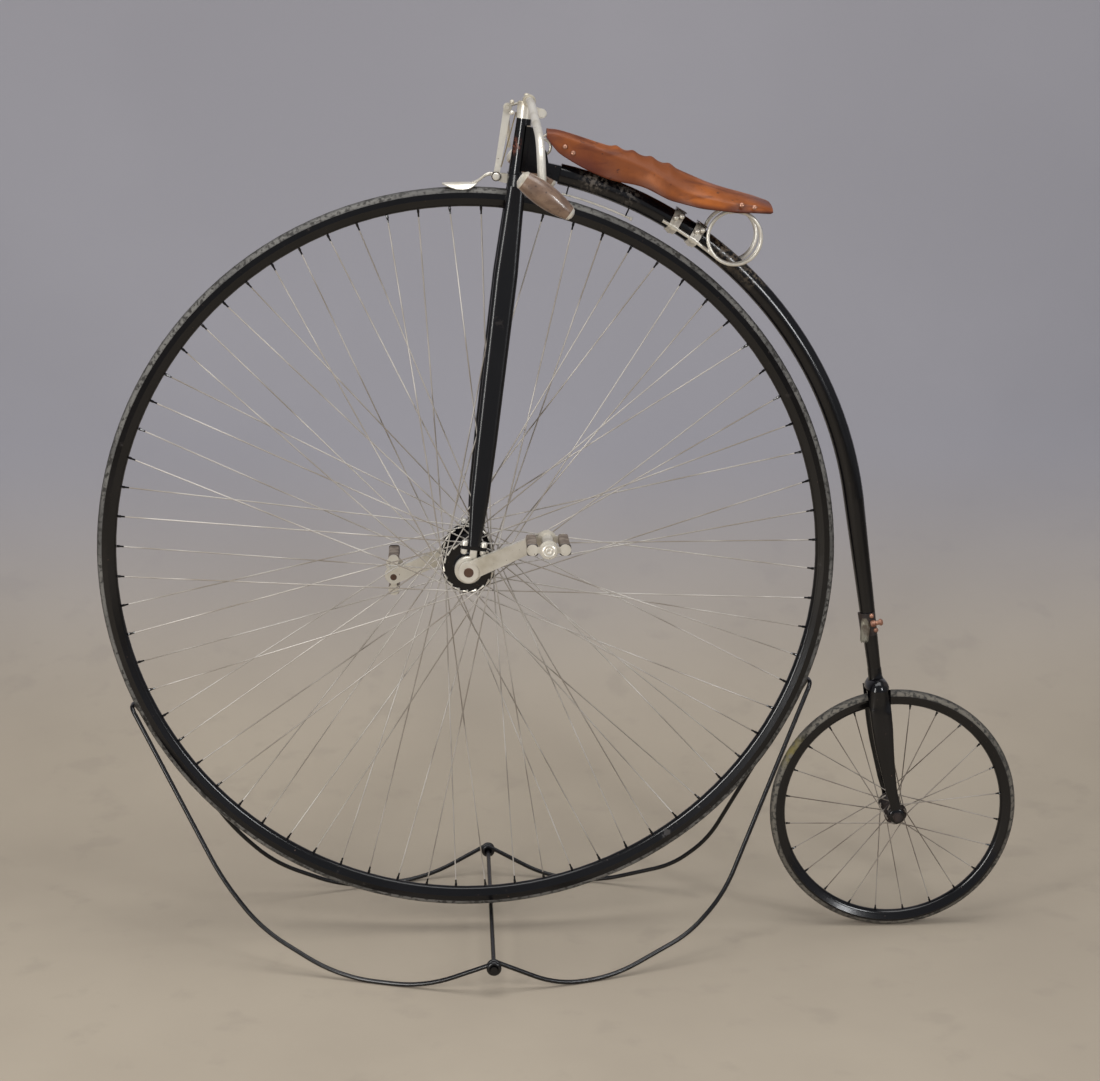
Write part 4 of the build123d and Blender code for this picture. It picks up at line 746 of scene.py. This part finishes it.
def rear_fork_skin():
    """Rear fork in one flowing form: socket, bulb over the tyre, two oval blades and their lugs."""
    outside = -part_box("rear_fork")[0].y
    splay = outside - LUG_HALF - BLADE_TOP_OFFSET
    forms = []
    for side in SIDES:
        rings = []
        for k in range(BLADE_STEPS + 1):
            rise = REAR_BLADE_ROWS[-1][0] * k / BLADE_STEPS
            ahead, half, thin, share = smooth_row(REAR_BLADE_ROWS, rise)
            centre = rear_centre + Vector((-ahead, side * (BLADE_TOP_OFFSET + share * splay), rise))
            section = ring(centre, X, Y, half, thin, power=2.5, count=36)
            rounding = max(0.0, min(1.0, (rise - ROUNDING_FROM) / ROUNDING_RISE))
            rings.append([bulb_like(corner, centre.x, side, rounding) for corner in section])
        forms.append(rings)
        lug = []
        for radius, depth in LUG_PROFILE:
            centre = rear_centre + Y * side * (outside - 2 * LUG_HALF + depth)
            lug.append(ring(centre, X, Z, radius, radius, count=36))
        forms.append(lug)
    bulb = []
    for k in range(BULB_STEPS + 1):
        height = BULB_FOOT + (BULB_RADIUS * 0.998 - BULB_FOOT) * sin(pi / 2 * k / BULB_STEPS)
        spread = sqrt(BULB_RADIUS**2 - height**2)
        centre = rear_centre + Vector((-BULB_AHEAD, 0, BULB_RISE + height))
        bulb.append(ring(centre, X, Y, spread, BULB_HALF_LENGTH + spread, power=BULB_POWER, count=48))
    forms.append(bulb)
    socket = []
    for run, proud in SOCKET_ROWS:
        radius = tail_radius(min(TAIL_LENGTH, TAIL_LENGTH + run)) + proud
        socket.append(ring(tail_point(TAIL_LENGTH + run), TAIL_BACK, Y, radius, radius, count=36))
    forms.append(socket)
    skin = lofted("rear_fork_skin", forms, black, "rear_frame", flat_over=50)
    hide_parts("rear_fork")


# Mounting step: the wing's run down the tail, its front and rear edges and its distance out
WING_ROWS = [
    (0.222, -0.0130, 0.0030, 0.0165),
    (0.232, -0.0160, 0.0020, 0.0185),
    (0.244, -0.0195, -0.0030, 0.0240),
    (0.256, -0.0225, -0.0075, 0.0310),
    (0.262, -0.0235, -0.0095, 0.0345),
]
WING_THICKNESS = 0.004
WING_CURL = 0.0035
WING_TEETH = 5
TOOTH_DEPTH = 0.003
# The step's bracket: the runs of its ends, its faces' height over the tube, and its turn about it
BRACKET_SECTION = ((0.214, 0.0004), (0.214, 0.0036), (0.256, 0.0036), (0.256, 0.0004))
BRACKET_FROM, BRACKET_TURN = -200, 145
STEP_BOLT = [(0.0052, 0), (0.0060, 0.002), (0.0060, 0.008), (0.0042, 0.0085), (0.0042, 0.015),
             (0.0062, 0.0155), (0.0062, 0.0195), (0.0035, 0.0215), (0.0012, 0.0195)]


def step_pieces():
    """Bracket round the backbone's left side, its toothed wing, and its coppered bolt and nuts."""
    bracket = []
    for k in range(13):
        angle = radians(BRACKET_FROM + BRACKET_TURN * k / 12)
        out = TAIL_BACK * cos(angle) + Y * sin(angle)
        section = []
        for run, proud in BRACKET_SECTION:
            section.append(tail_point(run) + out * (tail_radius(run) + proud))
        bracket.append(section)
    lofted("step_bracket", [bracket], dark_iron, "rear_frame", flat_over=30)
    wing = []
    columns = 4 * WING_TEETH
    for k in range(columns + 1):
        share = k / columns
        tooth = TOOTH_DEPTH * abs(2 * (share * WING_TEETH % 1) - 1)
        top, low = [], []
        for j in range(11):
            run = WING_ROWS[0][0] + 0.040 * j / 10
            front, rear, out = smooth_row(WING_ROWS, run)
            back = front + (rear - front) * share
            slip = tooth if j == 10 else 0.0
            curl = WING_CURL * (2 * share - 1) ** 2
            top.append(tail_point(run - slip, back, -(out - curl)))
            low.append(tail_point(run - slip, back, -(out - curl - WING_THICKNESS)))
        wing.append(top + low[::-1])
    wing_piece = lofted("step_wing", [wing], step_metal, "rear_frame", flat_over=30)
    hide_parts("step")
    bolt = (tail_point(0.2325, 0.001, -0.0205), TAIL_BACK * 0.94 - TAIL_DOWN * 0.12 - Y * 0.25)
    turned("step_bolt", [bolt], STEP_BOLT, copper, "rear_frame", count=18)
    nuts = [(tail_point(0.2185, 0.004, -0.0168), -Y), (tail_point(0.2465, 0.009, -0.0155), -Y)]
    turned("step_nuts", nuts, dome(0.0046, 0.0042), copper, "rear_frame", count=14)


# Spring clamps: their angles about the front axle and the reach of the backbone's outer edge
CLAMP_DEGREES = (58.7, 55.2)
BACKBONE_TOP_REACH = 0.7188
# Their plates: the reach of each face, half length and half width
PLATE_REACHES = (0.7222, 0.7245)
PLATE_HALF_LENGTH, PLATE_HALF_WIDTH = 0.0098, 0.019
# Their nuts: drop below the backbone's outer edge, slide along it, and distance to the side
NUT_PLACES = ((0.0035, 0.004), (0.0105, -0.003))
NUT_SIDE = 0.0252


def clamp_trim():
    """A dark plate over each clamp and two round nuts on its sides."""
    plates, nuts = [], []
    for degrees_here in CLAMP_DEGREES:
        outwards = (around_front(degrees_here, 1.0) - front_centre).normalized()
        along = Vector((outwards.z, 0, -outwards.x))
        rings = []
        for reach in PLATE_REACHES:
            centre = around_front(degrees_here, reach)
            rings.append(ring(centre, along, Y, PLATE_HALF_LENGTH, PLATE_HALF_WIDTH, power=7, count=40))
        plates.append(rings)
        for side in SIDES:
            for drop, slide in NUT_PLACES:
                seat = around_front(degrees_here, BACKBONE_TOP_REACH - drop, side * NUT_SIDE)
                nuts.append((seat + along * slide, Y * side))
    lofted("clamp_plates", plates, dark_copper, "rear_frame", flat_over=40)
    turned("clamp_nuts", nuts, dome(0.0048, 0.0040), bright_plate, "rear_frame", count=14)


# Bearing cases: their middle, the disc's radii and depths, the neck's rises and half widths, and
# the studs' distance from the steering axis and height with their nuts' profile
CASE_MIDDLE = 0.0901
CASE_DISC = ((0.0225, -0.0065), (0.0245, -0.0050), (0.0245, 0.0045), (0.0228, 0.0062))
CASE_NECK = ((0.012, 0.0105), (0.022, 0.0068), (0.0355, 0.0062))
CASE_NECK_DEPTH = 0.0062
CASE_STUD_BACK = 0.0169
CASE_STUD_TOP = 0.049
CASE_NUT = [(0.0046, -0.0215), (0.0058, -0.0195), (0.0058, -0.0135), (0.0030, -0.0130), (0.0030, -0.0068),
            (0.0056, -0.0066), (0.0056, 0.0), (0.0044, 0.0022), (0.0012, 0.0030)]


def bearing_case_skin():
    """Round bearing cases with a narrow neck up to the fork foot and a nut at each side of it."""
    forms, studs = [], []
    for side in SIDES:
        disc = []
        for radius, depth in CASE_DISC:
            centre = front_centre + Y * side * (CASE_MIDDLE + depth)
            disc.append(ring(centre, X, Z, radius, radius, count=48))
        forms.append(disc)
        neck = []
        for rise, half in CASE_NECK:
            centre = on_head(0, rise, side * CASE_MIDDLE)
            neck.append(ring(centre, steer_back, Y, half, CASE_NECK_DEPTH, power=6))
        forms.append(neck)
        for back in SIDES:
            studs.append((on_head(back * CASE_STUD_BACK, CASE_STUD_TOP, side * CASE_MIDDLE), steer_axis))
    skin = lofted("bearing_case_skin", forms, plate, "root", flat_over=30)
    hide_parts("bearing_cases")
    turned("case_nuts", studs, CASE_NUT, bright_plate, "root", count=18)


# Brake spoon: distance behind the wheel's centre and half width of its leaf over the tyre
SPOON_ROWS = [
    (-0.0400, 0.0024),
    (-0.0385, 0.0062),
    (-0.0340, 0.0106),
    (-0.0260, 0.0148),
    (-0.0150, 0.0172),
    (-0.0040, 0.0176),
    (0.0060, 0.0170),
    (0.0130, 0.0146),
    (0.0180, 0.0108),
    (0.0210, 0.0066),
]
TYRE_MIDDLE = 0.6494
SPOON_INNER = 0.0162
SPOON_OUTER = 0.0188
# The neck's path: behind and above the wheel's centre, half width, half thickness
NECK_ROWS = [
    (0.0120, 0.6665, 0.0068, 0.0022),
    (0.0200, 0.6690, 0.0066, 0.0027),
    (0.0270, 0.6735, 0.0062, 0.0030),
    (0.0350, 0.6795, 0.0058, 0.0030),
    (0.0440, 0.6818, 0.0035, 0.0032),
    (0.0537, 0.6777, 0.0035, 0.0034),
]


def spoon_skin():
    """A leaf curved over the tyre and a flat neck that rises from it to the pivot."""
    leaf = []
    for back, half in SPOON_ROWS:
        fall = back**2 / (2 * TYRE_MIDDLE)
        widest = half / SPOON_OUTER
        outer, inner = [], []
        for k in range(17):
            across = widest * (k / 8 - 1)
            level = sqrt(1 - across**2)
            outer.append(behind(back, TYRE_MIDDLE - fall + SPOON_OUTER * level, SPOON_OUTER * across))
            inner.append(behind(back, TYRE_MIDDLE - fall + SPOON_INNER * level, SPOON_INNER * across))
        leaf.append(outer + inner[::-1])
    neck = []
    for k in range(29):
        back = NECK_ROWS[0][0] + (NECK_ROWS[-1][0] - NECK_ROWS[0][0]) * k / 28
        up, half, thin = smooth_row(NECK_ROWS, back)
        neck.append(ring(behind(back, up), Y, Z, half, thin, power=4, count=24))
    skin = lofted("spoon_skin", [leaf, neck], bright_plate, "root", flat_over=40)
    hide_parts("brake_spoon")


# Brake link's eye and the spoon's pivot, each behind and above the wheel's centre
LINK_EYE = (0.074, 0.795)
SPOON_PIVOT = (0.0537, 0.6777)
EYE_RADIUS = 0.0058
CLAMP_RADIUS = 0.0106
CLAMP_INSET = 0.011


def bracket_skin():
    """The lever's bracket: a clamp on the bar, a small eye and a thin bar between them."""
    low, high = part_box("lever_bracket")
    middle = (low.y + high.y) / 2
    half = (high.y - low.y) / 2
    eye = behind(*LINK_EYE, middle)
    clamp = Vector((high.x - CLAMP_INSET, middle, high.z - CLAMP_INSET))
    forms = []
    for centre, radius in ((eye, EYE_RADIUS), (clamp, CLAMP_RADIUS)):
        forms.append([ring(centre + Y * depth, X, Z, radius, radius) for depth in (-half, half)])
    along = (clamp - eye).normalized()
    rise = along.cross(Y)
    forms.append([ring(end, Y, rise, 0.0035, 0.0022, power=4, count=16) for end in (eye, clamp)])
    skin = lofted("bracket_skin", forms, plate, "root", flat_over=30)
    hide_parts("lever_bracket")


# Rod over the tyre: the angles of its ends and of its lugs about the front axle, its reach and
# thickness, its nut's profile and the reach of the backbone's underside
GUARD_DEGREES = (75.5, 64.3)
GUARD_LUGS = (74.8, 65.4)
GUARD_REACH = 0.6685
GUARD_RADIUS = 0.0018
GUARD_NUT = [(0.0034, 0), (0.0040, 0.0006), (0.0040, 0.0042), (0.0030, 0.0050)]
BACKBONE_UNDERSIDE = 0.6822


def guard_rod_skin():
    """A bright thin rod with a nut at its end, on two dark lugs."""
    first, last = GUARD_DEGREES
    rod = []
    for k in range(25):
        degrees_here = first + (last - first) * k / 24
        centre = around_front(degrees_here, GUARD_REACH)
        outwards = (centre - front_centre).normalized()
        rod.append(ring(centre, outwards, Y, GUARD_RADIUS, GUARD_RADIUS, count=14))
    skin = lofted("guard_rod_skin", [rod], bright_plate, "rear_frame")
    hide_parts("guard_rod")
    tip = around_front(last, GUARD_REACH)
    before = around_front(last + 1, GUARD_REACH)
    end = (tip, (before - tip).normalized())
    turned("guard_rod_nut", [end], GUARD_NUT, bright_plate, "rear_frame", count=6)
    lugs = []
    for degrees_here in GUARD_LUGS:
        foot = around_front(degrees_here, GUARD_REACH)
        lugs.append((foot, (foot - front_centre).normalized()))
    height = BACKBONE_UNDERSIDE - GUARD_REACH + 0.0012
    lug = [(0.0020, 0), (0.0014, 0.0025), (0.0014, height)]
    turned("guard_rod_lugs", lugs, lug, black, "rear_frame", count=10)


# Nose loop: its centre behind and above the wheel's centre, its radius, and its wire's and arm's
NOSE_LOOP_AT = (0.1345, 0.7270)
NOSE_LOOP_RADIUS = 0.0136
NOSE_WIRE, NOSE_ARM = 0.0025, 0.0021
NOSE_ARM_END = (0.1440, 0.7500)


def nose_loop_skin():
    """A wire loop on the neck's back edge, with its arm into the saddle's nose."""
    centre = behind(*NOSE_LOOP_AT)
    loop = []
    for k in range(33):
        angle = radians(-110 + 225 * k / 32)
        out = Vector((cos(angle), 0, sin(angle)))
        loop.append(ring(centre + out * NOSE_LOOP_RADIUS, out, Y, NOSE_WIRE, NOSE_WIRE, count=12))
    start, end = centre + Vector((-0.006, 0, 0.0135)), behind(*NOSE_ARM_END)
    along = (end - start).normalized()
    arm = [ring(spot, Y, along.cross(Y), NOSE_ARM, NOSE_ARM, count=12) for spot in (start, end)]
    skin = lofted("nose_loop_skin", [loop, arm], bright_plate, "rear_frame", flat_over=60)
    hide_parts("nose_spring")


# Grips: their slope, length and end plates
GRIP_SLOPE = 36
GRIP_LENGTH = 0.103
GRIP_RINGS = [(0.0098, 0), (0.0098, 0.0016), (0.0085, 0.0024), (0.0078, 0.0016), (0.0066, 0.0016),
              (0.0058, 0.0026), (0.0045, 0.0026), (0.0036, 0.0016), (0.0012, 0.0022)]


def grip_trim():
    """Domed plates with rings on the grips' ends."""
    for name in ("left", "right"):
        low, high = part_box("grip_" + name)
        slope = Vector((cos(radians(GRIP_SLOPE)), 0, -sin(radians(GRIP_SLOPE))))
        middle = (low + high) / 2
        front = (middle - slope * (GRIP_LENGTH / 2 - 0.0028), -slope)
        rear = (middle + slope * (GRIP_LENGTH / 2 - 0.0035), slope)
        turned("grip_end_rings_" + name, [front], GRIP_RINGS, bright_plate, "root", count=32)
        pearl = dome(0.0048, 0.003)
        turned("grip_end_pearl_" + name, [rear], pearl, bright_plate, "root", count=20)


# Profiles of the brake's small fastenings
PIVOT_WASHER = [(0.0082, 0), (0.0082, 0.0008), (0.0060, 0.0010)]
PIVOT_NUT = [(0.0066, 0), (0.0066, 0.0040), (0.0048, 0.0056), (0.0014, 0.0060)]
EYE_WASHER = [(0.0062, 0), (0.0062, 0.0012), (0.0040, 0.0014), (0.0034, 0.0006)]
STUD_BEHIND_EYE = 0.0075
BALL_OFFSET = 0.009


def both_sides(spot, depth):
    """A placement on each side of a point in the middle plane, facing outwards."""
    return [(spot + Y * side * depth, Y * side) for side in SIDES]


def brake_trim():
    """Balls on the stud at the link's eye, washers on its sides, and the pivot's nuts."""
    eye, pivot = behind(*LINK_EYE), behind(*SPOON_PIVOT)
    stud = behind(LINK_EYE[0] + STUD_BEHIND_EYE, LINK_EYE[1], -BALL_OFFSET)
    balls = [(stud + Z * BALL_OFFSET, -Y), (stud - Z * BALL_OFFSET, -Y)]
    turned("pivot_washers", both_sides(pivot, 0.0097), PIVOT_WASHER, dark_iron, "root", count=24)
    turned("pivot_nuts", both_sides(pivot, 0.0106), PIVOT_NUT, bright_plate, "root", count=24)
    turned("stud_balls", balls, dome(0.0042, 0.0042, 5), bright_plate, "root", count=16)
    turned("link_eye_washers", both_sides(eye, 0.0066), EYE_WASHER, plate, "root", count=24)


def collar_trim():
    """A small oiler's dome on top of the collar."""
    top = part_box("head_collar")[1].z
    spot = on_head(0.0, 0.0)
    spot = spot + steer_axis * ((top - spot.z) / steer_axis.z - 0.002)
    turned("collar_dome", [(spot, steer_axis)], dome(0.0055, 0.0042, 5), plate, "root", count=20)


# Pedals: the blocks' distance from the pin, their ends' half widths and depths, and the caps
BLOCK_OFFSET = 0.028
BLOCK_END = ((0.0096, -0.003), (0.0101, -0.002), (0.0101, 0.0022), (0.0094, 0.003))
PEDAL_CAP = [(0.0115, -0.0005), (0.0115, 0.0008), (0.0095, 0.0016), (0.0075, 0.0008), (0.0062, 0.0008),
             (0.0054, 0.0022), (0.0040, 0.0026), (0.0022, 0.0014), (0.0008, 0.0004)]


def crank_trim():
    """Ringed caps on the pedals, and dark ends on their blocks behind the cage's plates."""
    for side, name, across in ((-1, "left", X), (1, "right", Z)):
        pin = Vector(joints["pedal_" + name + "_spin"]["pos_m"])
        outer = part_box("pedal_cage_" + name)[0 if side < 0 else 1].y
        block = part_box("pedal_blocks_" + name)[0 if side < 0 else 1].y
        ends = []
        for end in SIDES:
            middle = Vector((pin.x, block, pin.z)) + across * (end * BLOCK_OFFSET)
            rings = []
            for half, depth in BLOCK_END:
                centre = middle + Y * side * depth
                rings.append(ring(centre, across, across.cross(Y), half, half, power=5))
            ends.append(rings)
        body = "pedal_" + name
        lofted("pedal_block_ends_" + name, ends, pedal_end, body)
        spot = Vector((pin.x, outer, pin.z))
        turned("pedal_cap_" + name, [(spot, Y * side)], PEDAL_CAP, plate, body, count=28)


# Stage and light
def make_stage():
    """A floor that curves up into a wall behind the bicycle."""
    near, far, cove, half_width, height = -9.0, 2.6, 2.2, 11.0, 7.0
    cove_steps = 24
    outline = [(near, 0.0), (far - cove, 0.0)]
    for k in range(1, cove_steps + 1):
        angle = pi / 2 * k / cove_steps
        outline.append((far - cove + cove * sin(angle), cove * (1 - cos(angle))))
    outline.append((far, height))
    mesh = bpy.data.meshes.new("backdrop")
    corners = [(x, y, z) for y, z in outline for x in (-half_width, half_width)]
    faces = [(2 * k, 2 * k + 1, 2 * k + 3, 2 * k + 2) for k in range(len(outline) - 1)]
    mesh.from_pydata(corners, [], faces)
    mesh.shade_smooth()
    mesh.materials.append(backdrop_paint("backdrop_paint"))
    backdrop = bpy.data.objects.new("backdrop", mesh)
    bpy.context.scene.collection.objects.link(backdrop)


def add_lamp(name, place, target, size, power, tint=(1, 1, 1)):
    lamp = bpy.data.objects.new(name, bpy.data.lights.new(name, "AREA"))
    lamp.data.shape = "RECTANGLE"
    lamp.data.size, lamp.data.size_y = size
    lamp.data.energy = power
    lamp.data.color = tint
    lamp.location = place
    lamp.rotation_mode = "QUATERNION"
    lamp.rotation_quaternion = (Vector(target) - Vector(place)).to_track_quat("-Z", "Y")
    bpy.context.scene.collection.objects.link(lamp)


def make_light():
    middle = (0.0, 0.0, 0.8)
    add_lamp("key", (-2.7, -3.3, 1.75), middle, (0.55, 2.7), 95, (1.0, 0.985, 0.96))
    add_lamp("fill", (2.7, -3.5, 2.35), middle, (0.5, 1.7), 60, (0.97, 0.98, 1.0))
    add_lamp("overhead", (0.0, -0.6, 4.2), (0.0, 0.3, 0.0), (3.6, 2.4), 90, (1.0, 1.0, 1.0))
    world = bpy.data.worlds.new("studio")
    world.use_nodes = True
    world.node_tree.nodes["Background"].inputs["Color"].default_value = (0.86, 0.88, 0.94, 1)
    world.node_tree.nodes["Background"].inputs["Strength"].default_value = 0.3
    bpy.context.scene.world = world
    bpy.context.scene.view_settings.view_transform = "Standard"


make_camera()
dress_nodes()
spoke_trim()
saddle_hide()
saddle_trim()
rear_fork_skin()
step_pieces()
clamp_trim()
bearing_case_skin()
spoon_skin()
bracket_skin()
guard_rod_skin()
nose_loop_skin()
grip_trim()
brake_trim()
collar_trim()
crank_trim()
make_stage()
make_light()
